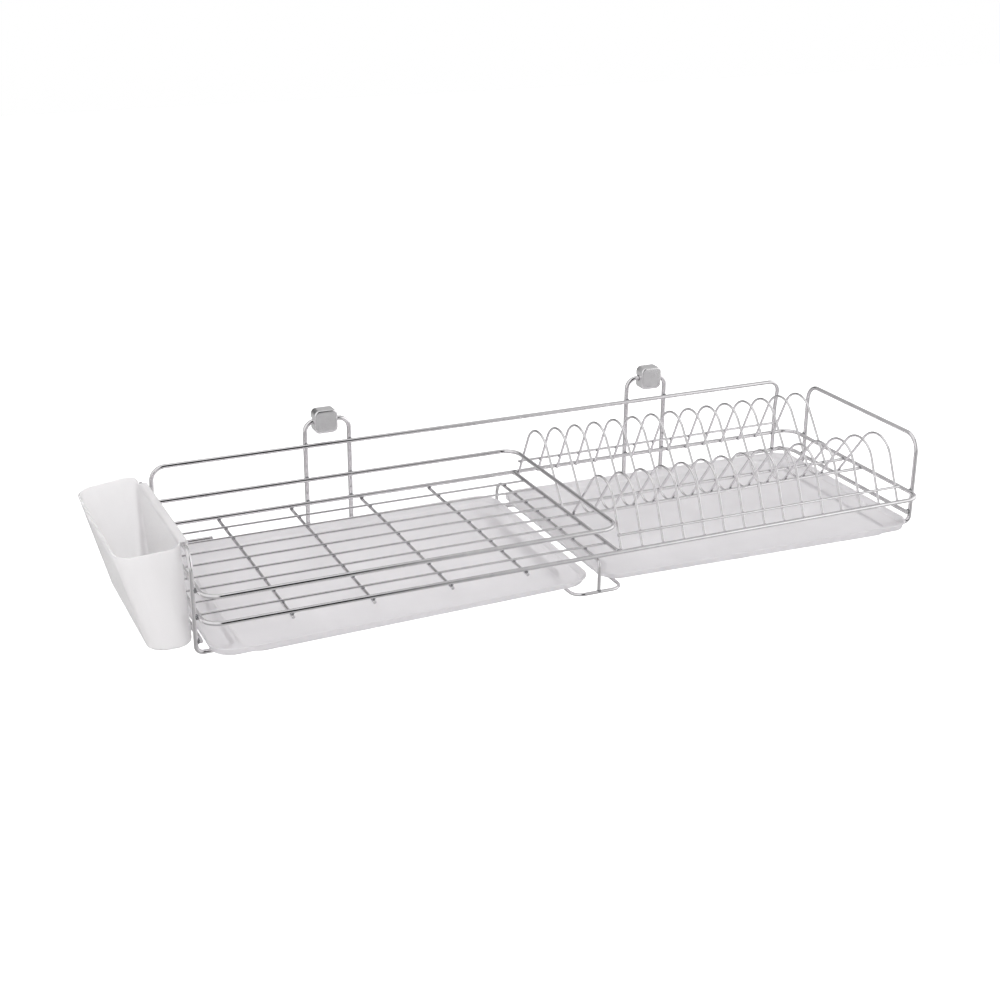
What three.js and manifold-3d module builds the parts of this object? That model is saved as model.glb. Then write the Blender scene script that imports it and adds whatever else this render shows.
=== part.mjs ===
// Wall-mounted dish rack of welded chrome wire, with two drip trays and a cutlery holder.
// Millimetres, +X to the right along the rack, +Y into the wall, +Z up.
// The origin lies on the wall, midway between the two hanging points and level with them.

import * as THREE from 'three';
import { mergeVertices } from 'three/addons/utils/BufferGeometryUtils.js';
import Module from 'manifold-3d';

const wasm = await Module();
wasm.setup();

// Driving dimensions of the wire frame
const RACK_LENGTH = 890; // between the centres of the base loop's two end wires
const RACK_DEPTH = 280; // between the centres of its back and front wires
const TOP_RAIL_HEIGHT = 72.4; // every height here is above the base loop's centre line
const HOOP_HEIGHT = 70.5;
const GUARD_HEIGHT = 30;
const TIE_HEIGHT = 17;
const TRAY_GUARD_DROP = 27.3; // every drop is below the base loop's centre line
const TRAY_BAR_DROP = 40.5;
const CRADLE_DROP = 42;
const HANG_HEIGHT = 101; // from the base loop up to the hangers' top wire
const FLAT_LENGTH = 472; // left section, from the left end wire to the divider rail

// Wire diameters
const FRAME_WIRE = 5;
const HANGER_WIRE = 5.5;
const CROSS_WIRE = 4;
const GRID_WIRE = 2.8;
const DIVIDER_WIRE = 3;
const WELD_GAP = 0.3; // left between pieces that touch

// Bends, measured at the wire's centre line
const LOOP_BEND = 20;
const HOOP_BEND = 20;
const TOP_RAIL_BEND = 16;
const FOOT_BEND = 8;
const HANGER_BEND = 13;
const SUPPORT_BACK_BEND = 24;
const SUPPORT_FRONT_BEND = 8;
const CRADLE_BEND = 13;

// Facets of the wires and bends
const THICK_HALF_SIDES = 4; // sides in half of a wire's section
const THIN_HALF_SIDES = 3;
const BEND_STEPS = 5;
const JOG_STEPS = 2;
const FOOT_STEPS = 1;
const HUMP_STEPS = 8;
const DIP_STEPS = 6;
const CORNER_STEPS = 6;
const SCREW_SIDES = 16;

// Top rail's end legs
const TOP_RAIL_INSET_LEFT = 15; // from the base loop's end wire
const TOP_RAIL_INSET_RIGHT = 26;
const LEG_JOG_DROP = 20; // height over which a leg steps back behind the loops

// End hoops and tray guards
const HOOP_INSET_BACK = 25; // hoop's back leg in front of the base loop's back wire
const HOOP_INSET_FRONT = 25;
const TRAY_BAR_INSET = 40; // hoop's tray bar, inwards from its legs
const TRAY_GUARD_REACH = 83; // tray guard's arm along the back
const TRAY_GUARD_OVERRUN = 2; // tray guard's side past the hoop's front leg

// Hangers
const HANGER_SPACING = 433; // between the two hangers' centres
const HANGER_WIDTH = 55; // between the centres of one hanger's legs
const HANGER_STANDOFF = 3.7; // clear space between a hanger and the wall
const HANGER_TAIL_DROP = 31;

// Grid of the left section
const GRID_WIRES = 8;
const CROSS_WIRES = 4;
const CROSS_START = 90.5; // first cross wire from the left end wire
const CROSS_OVERRUN = 3; // cut ends past the base loop's wires

// Plate section
const DIVIDERS = 15;
const PLATE_RAIL_DROP = 2;
const DIVIDER_START = 1.3; // clear space between the divider rail and the first divider
const DIVIDER_END = 28.8; // clear space between the last divider and the right end wire
const PEAK_HEIGHT = 100; // height at which a hump's two straight legs would meet
const PEAK_OFFSET_BACK = 88; // from the middle of the depth to that meeting point
const PEAK_OFFSET_FRONT = 94;
const HUMP_BEND = 31;
const DIP_DROP = 20; // depth at which a divider's two inner legs would meet
const DIP_BEND = 19;
const DIVIDER_FOOT = 2; // foot below the base loop's centre line
const TIE_OVERRUN = 2;

// Middle support and tray cradle
const SUPPORT_OFFSET = 26.3; // from the divider rail to the left
const CRADLE_WIDTH = 61;
const SUPPORT_INSET = 7; // support's back leg in front of the base loop's back wire
const STRUT_REACH = 4; // front strut in front of the base loop's front wire

// Drip trays
const TRAY_INSET_LEFT = 5; // from the left end wire's centre to the left tray's rim
const TRAY_INSET_RIGHT = 9.5;
const TRAY_SPLIT = 11; // between the two trays' rims, round the middle support
const TRAY_BACK_REACH = 1; // rim behind the base loop's back wire centre
const TRAY_FRONT_REACH = 5; // rim in front of the base loop's front wire centre
const TRAY_CORNER = 28;
const TRAY_WALL = 1.8;
const TRAY_RIM_WIDTH = 2;
const TRAY_RIM_THICKNESS = 2;
const TRAY_DRAFT = 1.5; // walls lean in by this much at the bottom
const TRAY_EDGE = 3; // rounding under the tray's walls
const TRAY_DEPTH_OUTER = 8.7; // rim's top above the shelf's underside, at the outer end
const TRAY_DEPTH_INNER = 5.5; // the same at the inner end, above the shelf's plane
const TRAY_FALL = 8.2; // how far that plane falls from the inner to the outer end
const TRAY_STEP = 3.2; // basin's underside below the shelf that rests on the hoop's bar
const TRAY_STEP_GAP = 1.5; // clear space between the bar and the basin's end
const TRAY_LEDGE = 0.4; // width of the step along the tray's other three sides
const TRAY_RIB_WIDTH = 8;
const TRAY_RIB_END_GAP = 45; // rib's ends from the rim's front and back

// Cutlery holder
const HOLDER_END_GAP = 6; // from the hoop's legs to the holder's ends
const HOLDER_WIDTH = 69; // at the rim
const HOLDER_FOOT_WIDTH = 48;
const HOLDER_FOOT_DRAFT = 3; // front and back walls lean in by this much
const HOLDER_RIM_LOW = 71.5; // rim's outer edge above the base loop
const HOLDER_RIM_HIGH = 74.5; // rim's inner edge
const HOLDER_BACK_RISE = 6; // how much higher the rim's inner back corner is
const HOLDER_RISE_LENGTH = 8; // over which the inner edge climbs to that corner
const HOLDER_FOOT_DROP = 38.5;
const HOLDER_WALL = 2;
const HOLDER_CORNER = 20;
const HOLDER_EDGE = 4;
const HOLDER_GAP = 0.5; // between the holder and the hoop
const HOOK_INSET = 16.5; // hook's ends from the holder's ends
const HOOK_LIP = 7;
const DRAIN_SLOTS = 6;
const DRAIN_SLOT_WIDTH = 4;
const DRAIN_SLOT_LENGTH = 24;
const DRAIN_PITCH = 24;

// Wall fixings
const BOSS_SPACING = 439.5; // between the two screws
const CAP_SIZE = 28.5;
const CAP_DEPTH = 15.7;
const CAP_WALL = 1.2;
const CAP_CORNER = 8;
const CAP_EDGE = 2;
const CAP_WALL_GAP = 0.3; // between the cap's rear edge and the wall
const NOTCH_CLEARANCE = 0.8; // round the hanger's wire in the cap's side
const BRACKET_FIT = 0.35; // between the bracket's edge and the inside of the cap
const BRACKET_PLATE = 2;
const HOOK_WIDTH = 16;
const HOOK_THICKNESS = 1.6;
const HOOK_RISE = 3; // front lip above the hanger wire's centre
const HOOK_CLEARANCE = 0.3;
const SCREW_GAP = 0.4; // between the screw's head and the hook above it
const SCREW_SHANK = 3.5;
const SCREW_LENGTH = 20;
const SCREW_HEAD = 6.2;
const SCREW_HEAD_DEPTH = 1.5;
const SCREW_CLEARANCE = 0.3;
const SCREW_TIP = 3;
const RECESS_LENGTH = 3.6;
const RECESS_WIDTH = 0.8;
const RECESS_DEPTH = 0.8;
const PLUG_DIAMETER = 5.4;
const PLUG_LENGTH = 17;
const PLUG_SETBACK = 2.3; // plug's front end behind the wall's surface

const CUT_OVERRUN = 1; // how far a cutting solid passes the face that it cuts
const EDGE_SHARE = 0.3; // how far a rounded edge's middle point lies from its two ends

// Places worked out from the sizes above
const END_X = RACK_LENGTH / 2;
const HANGER_Y = -(HANGER_STANDOFF + HANGER_WIRE / 2);
const BACK_Y = HANGER_Y - touching(HANGER_WIRE, FRAME_WIRE);
const FRONT_Y = BACK_Y - RACK_DEPTH;
const MIDDLE_Y = (BACK_Y + FRONT_Y) / 2;
const BASE_Z = -HANG_HEIGHT;
const TOP_Z = BASE_Z + TOP_RAIL_HEIGHT;
const HOOP_Z = BASE_Z + HOOP_HEIGHT;
const GUARD_Z = BASE_Z + GUARD_HEIGHT;
const TRAY_GUARD_Z = BASE_Z - TRAY_GUARD_DROP;
const TRAY_BAR_Z = BASE_Z - TRAY_BAR_DROP;
const CRADLE_Z = BASE_Z - CRADLE_DROP;
const DIVIDER_RAIL_X = -END_X + FLAT_LENGTH;
const HOOP_X = END_X + touching(FRAME_WIRE, FRAME_WIRE);
const HOOP_BACK_Y = BACK_Y - HOOP_INSET_BACK;
const HOOP_FRONT_Y = FRONT_Y + HOOP_INSET_FRONT;
const BEHIND_LOOPS_Y = BACK_Y + touching(FRAME_WIRE, FRAME_WIRE);
const CROSS_Z = BASE_Z - touching(FRAME_WIRE, CROSS_WIRE);
const GRID_Z = CROSS_Z + touching(CROSS_WIRE, GRID_WIRE);
const SUPPORT_X = DIVIDER_RAIL_X - SUPPORT_OFFSET;
const FIRST_CROSS_X = -END_X + CROSS_START;
const CROSS_PITCH = (SUPPORT_X - FIRST_CROSS_X) / CROSS_WIRES; // the support is the next one
const SUPPORT_BACK_Y = BACK_Y - SUPPORT_INSET;
const SUPPORT_FRONT_Y = FRONT_Y - STRUT_REACH;
const FIRST_DIVIDER_X = DIVIDER_RAIL_X + (FRAME_WIRE + DIVIDER_WIRE) / 2 + DIVIDER_START;
const LAST_DIVIDER_X = END_X - (FRAME_WIRE + DIVIDER_WIRE) / 2 - DIVIDER_END;
const DIVIDER_PITCH = (LAST_DIVIDER_X - FIRST_DIVIDER_X) / (DIVIDERS - 1);
const DIVIDER_FOOT_OFFSET = RACK_DEPTH / 2 - touching(FRAME_WIRE, DIVIDER_WIRE);
const BRACKET_SIZE = CAP_SIZE - 2 * (CAP_WALL + BRACKET_FIT);
const BRACKET_CORNER = CAP_CORNER - CAP_WALL - BRACKET_FIT;
const HOLDER_LENGTH = HOOP_BACK_Y - HOOP_FRONT_Y - FRAME_WIRE - 2 * HOLDER_END_GAP;
const HOOK_LENGTH = HOLDER_LENGTH - 2 * HOOK_INSET;
const LEDGE_TOP_Z = -(HANGER_WIRE / 2 + HOOK_CLEARANCE);
const LEDGE_FOOT_Z = LEDGE_TOP_Z - HOOK_THICKNESS;
const SCREW_Z = LEDGE_FOOT_Z - SCREW_GAP - SCREW_HEAD / 2;

// Distance between the centres of two wires that lie against each other
function touching(firstDiameter, secondDiameter) {
  return (firstDiameter + secondDiameter) / 2 + WELD_GAP;
}

// Materials
function chrome() {
  return new THREE.MeshStandardMaterial({ color: 0xc9cacc, roughness: 0.12, metalness: 1 });
}

function zincSteel() {
  return new THREE.MeshStandardMaterial({ color: 0xa9abad, roughness: 0.35, metalness: 1 });
}

function frostedPlastic() {
  return new THREE.MeshStandardMaterial({ color: 0xe2e1e3, roughness: 0.45, metalness: 0 });
}

function greyPlastic() {
  return new THREE.MeshStandardMaterial({ color: 0x9c9ea0, roughness: 0.6, metalness: 0 });
}

function place(name, geometry, material) {
  const mesh = new THREE.Mesh(geometry, material);
  mesh.name = name;
  return mesh;
}

// A wire's centre line, which passes through every one of its points in turn
class WirePath extends THREE.Curve {
  constructor(points) {
    super();
    this.points = points;
  }

  getPoint(t) {
    const last = this.points.length - 1;
    const index = Math.min(Math.floor(t * last + Number.EPSILON), last - 1);
    return this.points[index].clone().lerp(this.points[index + 1], t * last - index);
  }

  getPointAt(u) {
    return this.getPoint(u);
  }

  getTangentAt(u) {
    const last = this.points.length - 1;
    const index = Math.round(u * last);
    const before = this.points[Math.max(index - 1, 0)];
    const here = this.points[index];
    const after = this.points[Math.min(index + 1, last)];
    const arriving = here.clone().sub(before).normalize();
    const leaving = after.clone().sub(here).normalize();
    return arriving.add(leaving).normalize();
  }
}

// Points of one rounded corner, from its tangent point before to its tangent point after
function bendPoints(before, corner, after, wantedRadius, steps) {
  const toBefore = before.clone().sub(corner);
  const toAfter = after.clone().sub(corner);
  const room = Math.min(toBefore.length(), toAfter.length()) / 2;
  toBefore.normalize();
  toAfter.normalize();
  const halfAngle = toBefore.angleTo(toAfter) / 2;
  const setback = Math.min(wantedRadius / Math.tan(halfAngle), room);
  const radius = setback * Math.tan(halfAngle);
  const start = corner.clone().addScaledVector(toBefore, setback);
  const inwards = toBefore.clone().add(toAfter).normalize();
  const centre = corner.clone().addScaledVector(inwards, radius / Math.sin(halfAngle));
  const axis = new THREE.Vector3().crossVectors(toBefore, toAfter).normalize();
  const spoke = start.clone().sub(centre);
  const sweep = 2 * halfAngle - Math.PI;
  const points = [];
  for (let step = 0; step <= steps; step += 1) {
    const turned = spoke.clone().applyAxisAngle(axis, (sweep * step) / steps);
    points.push(turned.add(centre));
  }
  return points;
}

// Centre line through the corners, each rounded with its radius
function bentLine(corners, radii, steps) {
  const points = [corners[0]];
  for (let index = 1; index < corners.length - 1; index += 1) {
    const radius = Array.isArray(radii) ? radii[index - 1] : radii;
    const count = Array.isArray(steps) ? steps[index - 1] : steps;
    points.push(...bendPoints(corners[index - 1], corners[index], corners[index + 1], radius, count));
  }
  points.push(corners[corners.length - 1]);
  return points;
}

// Round wire along a centre line
function wire(name, points, diameter, halfSides) {
  const section = new THREE.Shape();
  section.absarc(0, 0, diameter / 2, 0, 2 * Math.PI);
  const geometry = new THREE.ExtrudeGeometry(section, {
    steps: points.length - 1,
    curveSegments: halfSides,
    extrudePath: new WirePath(points),
  });
  return place(name, geometry, chrome());
}

function straightWire(name, start, end, diameter, halfSides) {
  return wire(name, [start, end], diameter, halfSides);
}

// Closed wire loop, whose two ends meet in the middle of its first side
function wireLoop(name, corners, radius, diameter) {
  const seam = corners[0].clone().lerp(corners[1], 0.5);
  const along = corners[1].clone().sub(corners[0]).normalize();
  const start = seam.clone().addScaledVector(along, WELD_GAP / 2);
  const end = seam.clone().addScaledVector(along, -WELD_GAP / 2);
  const line = [start, ...corners.slice(1), corners[0], end];
  return wire(name, bentLine(line, radius, BEND_STEPS), diameter, THICK_HALF_SIDES);
}

function point(x, y, z) {
  return new THREE.Vector3(x, y, z);
}

function makeBaseLoop() {
  const corners = [
    point(-END_X, BACK_Y, BASE_Z),
    point(END_X, BACK_Y, BASE_Z),
    point(END_X, FRONT_Y, BASE_Z),
    point(-END_X, FRONT_Y, BASE_Z),
  ];
  return wireLoop('base_loop', corners, LOOP_BEND, FRAME_WIRE);
}

function makeGuardLoop() {
  const corners = [
    point(-END_X, BACK_Y, GUARD_Z),
    point(DIVIDER_RAIL_X, BACK_Y, GUARD_Z),
    point(DIVIDER_RAIL_X, FRONT_Y, GUARD_Z),
    point(-END_X, FRONT_Y, GUARD_Z),
  ];
  return wireLoop('guard_loop', corners, LOOP_BEND, FRAME_WIRE);
}

function makeDividerRail() {
  const reach = touching(FRAME_WIRE, 0);
  const start = point(DIVIDER_RAIL_X, BACK_Y - reach, BASE_Z);
  const end = point(DIVIDER_RAIL_X, FRONT_Y + reach, BASE_Z);
  return straightWire('divider_rail', start, end, FRAME_WIRE, THICK_HALF_SIDES);
}

// The rail's legs step back behind the loops and stand on the tray guards
function makeTopRail() {
  const left = -END_X + TOP_RAIL_INSET_LEFT;
  const right = END_X - TOP_RAIL_INSET_RIGHT;
  const jogTop = TOP_Z - TOP_RAIL_BEND;
  const jogFoot = jogTop - LEG_JOG_DROP;
  const foot = TRAY_GUARD_Z + touching(FRAME_WIRE, 0);
  const corners = [
    point(left, BEHIND_LOOPS_Y, foot),
    point(left, BEHIND_LOOPS_Y, jogFoot),
    point(left, BACK_Y, TOP_Z),
    point(right, BACK_Y, TOP_Z),
    point(right, BEHIND_LOOPS_Y, jogFoot),
    point(right, BEHIND_LOOPS_Y, foot),
  ];
  const radii = [LEG_JOG_DROP, TOP_RAIL_BEND, TOP_RAIL_BEND, LEG_JOG_DROP];
  const steps = [JOG_STEPS, BEND_STEPS, BEND_STEPS, JOG_STEPS];
  return wire('top_rail', bentLine(corners, radii, steps), FRAME_WIRE, THICK_HALF_SIDES);
}

// The hoop's bottom is bent inwards, and its two ends meet under the tray
function makeEndHoop(name, side) {
  const legX = side * HOOP_X;
  const barX = side * (HOOP_X - TRAY_BAR_INSET);
  const corners = [
    point(barX, MIDDLE_Y - WELD_GAP / 2, TRAY_BAR_Z),
    point(barX, HOOP_FRONT_Y, TRAY_BAR_Z),
    point(legX, HOOP_FRONT_Y, TRAY_BAR_Z),
    point(legX, HOOP_FRONT_Y, HOOP_Z),
    point(legX, HOOP_BACK_Y, HOOP_Z),
    point(legX, HOOP_BACK_Y, TRAY_BAR_Z),
    point(barX, HOOP_BACK_Y, TRAY_BAR_Z),
    point(barX, MIDDLE_Y + WELD_GAP / 2, TRAY_BAR_Z),
  ];
  const radii = [FOOT_BEND, FOOT_BEND, HOOP_BEND, HOOP_BEND, FOOT_BEND, FOOT_BEND];
  const line = bentLine(corners, radii, BEND_STEPS);
  return wire(name, line, FRAME_WIRE, THICK_HALF_SIDES);
}

function makeTrayGuard(name, side) {
  const corners = [
    point(side * END_X, HOOP_FRONT_Y - TRAY_GUARD_OVERRUN, TRAY_GUARD_Z),
    point(side * END_X, BEHIND_LOOPS_Y, TRAY_GUARD_Z),
    point(side * (END_X - TRAY_GUARD_REACH), BEHIND_LOOPS_Y, TRAY_GUARD_Z),
  ];
  const line = bentLine(corners, LOOP_BEND, BEND_STEPS);
  return wire(name, line, FRAME_WIRE, THICK_HALF_SIDES);
}

function makeHanger(name, side) {
  const centre = (side * HANGER_SPACING) / 2;
  const left = centre - HANGER_WIDTH / 2;
  const right = centre + HANGER_WIDTH / 2;
  const tail = BASE_Z - HANGER_TAIL_DROP;
  const corners = [
    point(left, HANGER_Y, tail),
    point(left, HANGER_Y, 0),
    point(right, HANGER_Y, 0),
    point(right, HANGER_Y, tail),
  ];
  const line = bentLine(corners, HANGER_BEND, BEND_STEPS);
  return wire(name, line, HANGER_WIRE, THICK_HALF_SIDES);
}

function makeGridWire(index) {
  const y = FRONT_Y + (RACK_DEPTH * (GRID_WIRES - index)) / (GRID_WIRES + 1);
  const reach = touching(FRAME_WIRE, 0);
  const start = point(-END_X + reach, y, GRID_Z);
  const end = point(DIVIDER_RAIL_X - reach, y, GRID_Z);
  return straightWire(`grid_wire_${index + 1}`, start, end, GRID_WIRE, THIN_HALF_SIDES);
}

function makeCrossWire(index) {
  const x = FIRST_CROSS_X + index * CROSS_PITCH;
  const overrun = FRAME_WIRE / 2 + CROSS_OVERRUN;
  const start = point(x, BACK_Y + FRAME_WIRE / 2, CROSS_Z);
  const end = point(x, FRONT_Y - overrun, CROSS_Z);
  return straightWire(`cross_wire_${index + 1}`, start, end, CROSS_WIRE, THICK_HALF_SIDES);
}

function makeMiddleSupport() {
  const foot = CRADLE_Z + touching(CROSS_WIRE, 0);
  const corners = [
    point(SUPPORT_X, SUPPORT_BACK_Y, foot),
    point(SUPPORT_X, SUPPORT_BACK_Y, CROSS_Z),
    point(SUPPORT_X, SUPPORT_FRONT_Y, CROSS_Z),
    point(SUPPORT_X, SUPPORT_FRONT_Y, foot),
  ];
  const line = bentLine(corners, [SUPPORT_BACK_BEND, SUPPORT_FRONT_BEND], BEND_STEPS);
  return wire('middle_support', line, CROSS_WIRE, THICK_HALF_SIDES);
}

function makeTrayCradle() {
  const left = SUPPORT_X - CRADLE_WIDTH / 2;
  const right = SUPPORT_X + CRADLE_WIDTH / 2;
  const corners = [
    point(left, SUPPORT_FRONT_Y, CRADLE_Z),
    point(left, SUPPORT_BACK_Y, CRADLE_Z),
    point(right, SUPPORT_BACK_Y, CRADLE_Z),
    point(right, SUPPORT_FRONT_Y, CRADLE_Z),
  ];
  return wireLoop('tray_cradle', corners, CRADLE_BEND, CROSS_WIRE);
}

// How far a divider's inner leg leans outwards for each millimetre that it rises
function innerLean(peakOffset) {
  return peakOffset / (PEAK_HEIGHT + DIP_DROP);
}

// How far its outer leg leans inwards for each millimetre that it rises
function outerLean(peakOffset) {
  return (DIVIDER_FOOT_OFFSET - peakOffset) / PEAK_HEIGHT;
}

// Level distance between the centres of a leaning leg and a straight wire against it
function besideLeg(lean, diameter) {
  return touching(DIVIDER_WIRE, diameter) * Math.hypot(lean, 1);
}

function makePlateRail(name, side, peakOffset) {
  const lean = innerLean(peakOffset);
  const reach = touching(FRAME_WIRE, 0);
  const legOffset = lean * (DIP_DROP - PLATE_RAIL_DROP);
  const y = MIDDLE_Y + side * (legOffset + besideLeg(lean, CROSS_WIRE));
  const z = BASE_Z - PLATE_RAIL_DROP;
  const start = point(DIVIDER_RAIL_X + reach, y, z);
  const end = point(END_X - reach, y, z);
  return straightWire(name, start, end, CROSS_WIRE, THICK_HALF_SIDES);
}

// A divider stands inside the base loop's wires, rises to a hump at the back and another at the
// front, and dips between the two plate rails
function makeDivider(index) {
  const x = FIRST_DIVIDER_X + index * DIVIDER_PITCH;
  const at = (offset, height) => point(x, MIDDLE_Y + offset, BASE_Z + height);
  const corners = [
    at(-DIVIDER_FOOT_OFFSET, -DIVIDER_FOOT),
    at(-DIVIDER_FOOT_OFFSET, 0),
    at(-PEAK_OFFSET_FRONT, PEAK_HEIGHT),
    at(0, -DIP_DROP),
    at(PEAK_OFFSET_BACK, PEAK_HEIGHT),
    at(DIVIDER_FOOT_OFFSET, 0),
    at(DIVIDER_FOOT_OFFSET, -DIVIDER_FOOT),
  ];
  const radii = [DIVIDER_FOOT, HUMP_BEND, DIP_BEND, HUMP_BEND, DIVIDER_FOOT];
  const steps = [FOOT_STEPS, HUMP_STEPS, DIP_STEPS, HUMP_STEPS, FOOT_STEPS];
  const number = String(index + 1).padStart(2, '0');
  const line = bentLine(corners, radii, steps);
  return wire(`plate_divider_${number}`, line, DIVIDER_WIRE, THIN_HALF_SIDES);
}

// A tie wire lies against the outer faces of the dividers' outer legs
function makeTieWire(name, side, peakOffset) {
  const lean = outerLean(peakOffset);
  const offset = DIVIDER_FOOT_OFFSET - lean * TIE_HEIGHT + besideLeg(lean, DIVIDER_WIRE);
  const overrun = DIVIDER_WIRE / 2 + TIE_OVERRUN;
  const start = point(FIRST_DIVIDER_X - overrun, MIDDLE_Y + side * offset, BASE_Z + TIE_HEIGHT);
  const end = point(LAST_DIVIDER_X + overrun, MIDDLE_Y + side * offset, BASE_Z + TIE_HEIGHT);
  return straightWire(name, start, end, DIVIDER_WIRE, THIN_HALF_SIDES);
}

// Rounded rectangle seen from above, anticlockwise, each point lifted to heightAt(x, y)
function roundedRing(left, right, front, back, wantedRadius, heightAt) {
  const room = Math.min(right - left, back - front) / 2;
  const radius = Math.min(wantedRadius, room);
  const centres = [
    [right - radius, back - radius],
    [left + radius, back - radius],
    [left + radius, front + radius],
    [right - radius, front + radius],
  ];
  const ring = [];
  centres.forEach(([x, y], corner) => {
    for (let step = 0; step <= CORNER_STEPS; step += 1) {
      const angle = ((corner + step / CORNER_STEPS) * Math.PI) / 2;
      const px = x + radius * Math.cos(angle);
      const py = y + radius * Math.sin(angle);
      ring.push(point(px, py, heightAt(px, py)));
    }
  });
  return ring;
}

// Closed solid skinned over rings of equal length, with a flat cap on the first and the last
function skinRings(rings) {
  const count = rings[0].length;
  const positions = rings.flat().flatMap((p) => [p.x, p.y, p.z]);
  const indices = [];
  for (let ring = 0; ring < rings.length - 1; ring += 1) {
    for (let i = 0; i < count; i += 1) {
      const a = ring * count + i;
      const b = ring * count + ((i + 1) % count);
      indices.push(a, b, b + count, a, b + count, a + count);
    }
  }
  const top = (rings.length - 1) * count;
  for (let i = 1; i < count - 1; i += 1) {
    indices.push(0, i + 1, i);
    indices.push(top, top + i, top + i + 1);
  }
  const geometry = new THREE.BufferGeometry();
  geometry.setAttribute('position', new THREE.Float32BufferAttribute(positions, 3));
  geometry.setIndex(indices);
  return geometry;
}

function toSolid(geometry) {
  const bare = geometry.clone();
  bare.deleteAttribute('normal');
  bare.deleteAttribute('uv');
  const merged = mergeVertices(bare);
  const vertProperties = Float32Array.from(merged.attributes.position.array);
  const triVerts = Uint32Array.from(merged.index.array);
  return new wasm.Manifold(new wasm.Mesh({ numProp: 3, vertProperties, triVerts }));
}

function toGeometry(solid) {
  const mesh = solid.getMesh();
  const geometry = new THREE.BufferGeometry();
  geometry.setAttribute('position', new THREE.Float32BufferAttribute(mesh.vertProperties, 3));
  geometry.setIndex(Array.from(mesh.triVerts));
  return geometry;
}

// Box between two corners
function boxBetween(x0, x1, y0, y1, z0, z1) {
  const box = new THREE.BoxGeometry(x1 - x0, y1 - y0, z1 - z0);
  return box.translate((x0 + x1) / 2, (y0 + y1) / 2, (z0 + z1) / 2);
}

// Shallow tray with a rim. A shelf at its outer end rests on the hoop's bar, and beside the bar a
// basin hangs lower. Both fall towards the outer end, and a rib under the inner end stands on the
// cradle.
function makeTray(name, side) {
  const outerX = side * (END_X - (side > 0 ? TRAY_INSET_RIGHT : TRAY_INSET_LEFT));
  const innerX = SUPPORT_X + (side * TRAY_SPLIT) / 2;
  const left = Math.min(outerX, innerX);
  const right = Math.max(outerX, innerX);
  const back = BACK_Y + TRAY_BACK_REACH;
  const front = FRONT_Y - TRAY_FRONT_REACH;
  const lowZ = TRAY_BAR_Z + touching(FRAME_WIRE, 0);
  const basinEnd = HOOP_X - TRAY_BAR_INSET - FRAME_WIRE / 2 - TRAY_STEP_GAP;
  const shelf = Math.abs(outerX) - basinEnd;
  const outwards = (x) => (x - innerX) / (outerX - innerX);
  const shelfAt = (x) => lowZ + TRAY_FALL * (1 - outwards(x));
  const undersideAt = (x) => shelfAt(x) - TRAY_STEP;
  const depthAt = (x) => TRAY_DEPTH_INNER + (TRAY_DEPTH_OUTER - TRAY_DEPTH_INNER) * outwards(x);
  const rimAt = (x) => shelfAt(x) + depthAt(x);
  const ring = (inset, heightAt, endInset = inset) => {
    const x0 = left + (side > 0 ? inset : endInset);
    const x1 = right - (side > 0 ? endInset : inset);
    return roundedRing(x0, x1, front + inset, back - inset, TRAY_CORNER - inset, heightAt);
  };
  const basin = (inset, heightAt) => ring(wallFoot + inset, heightAt, shelf + inset);
  const wallTop = TRAY_RIM_WIDTH;
  const wallFoot = TRAY_RIM_WIDTH + TRAY_DRAFT;
  const edgeInset = TRAY_EDGE * EDGE_SHARE;
  const rings = [
    basin(TRAY_EDGE + TRAY_LEDGE, undersideAt),
    basin(edgeInset + TRAY_LEDGE, (x) => undersideAt(x) + edgeInset * EDGE_SHARE),
    basin(TRAY_LEDGE, shelfAt),
    ring(wallFoot, shelfAt),
    ring(wallTop, (x) => rimAt(x) - TRAY_RIM_THICKNESS),
    ring(0, (x) => rimAt(x) - TRAY_RIM_THICKNESS),
    ring(0, rimAt),
    ring(wallTop + TRAY_WALL, rimAt),
    ring(wallFoot + TRAY_WALL, (x) => shelfAt(x) + TRAY_WALL),
    basin(TRAY_LEDGE + TRAY_WALL, (x) => shelfAt(x) + TRAY_WALL),
    basin(TRAY_EDGE + TRAY_LEDGE + TRAY_WALL, (x) => undersideAt(x) + TRAY_WALL),
  ];
  const ribX = SUPPORT_X + (side * CRADLE_WIDTH) / 2;
  const ribFoot = CRADLE_Z + touching(CROSS_WIRE, 0);
  const ribTop = undersideAt(ribX) + TRAY_WALL / 2;
  const halfRib = TRAY_RIB_WIDTH / 2;
  const ribFront = front + TRAY_RIB_END_GAP;
  const ribBack = back - TRAY_RIB_END_GAP;
  const rib = boxBetween(ribX - halfRib, ribX + halfRib, ribFront, ribBack, ribFoot, ribTop);
  const solid = toSolid(skinRings(rings)).add(toSolid(rib));
  return place(name, toGeometry(solid), frostedPlastic());
}

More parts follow.
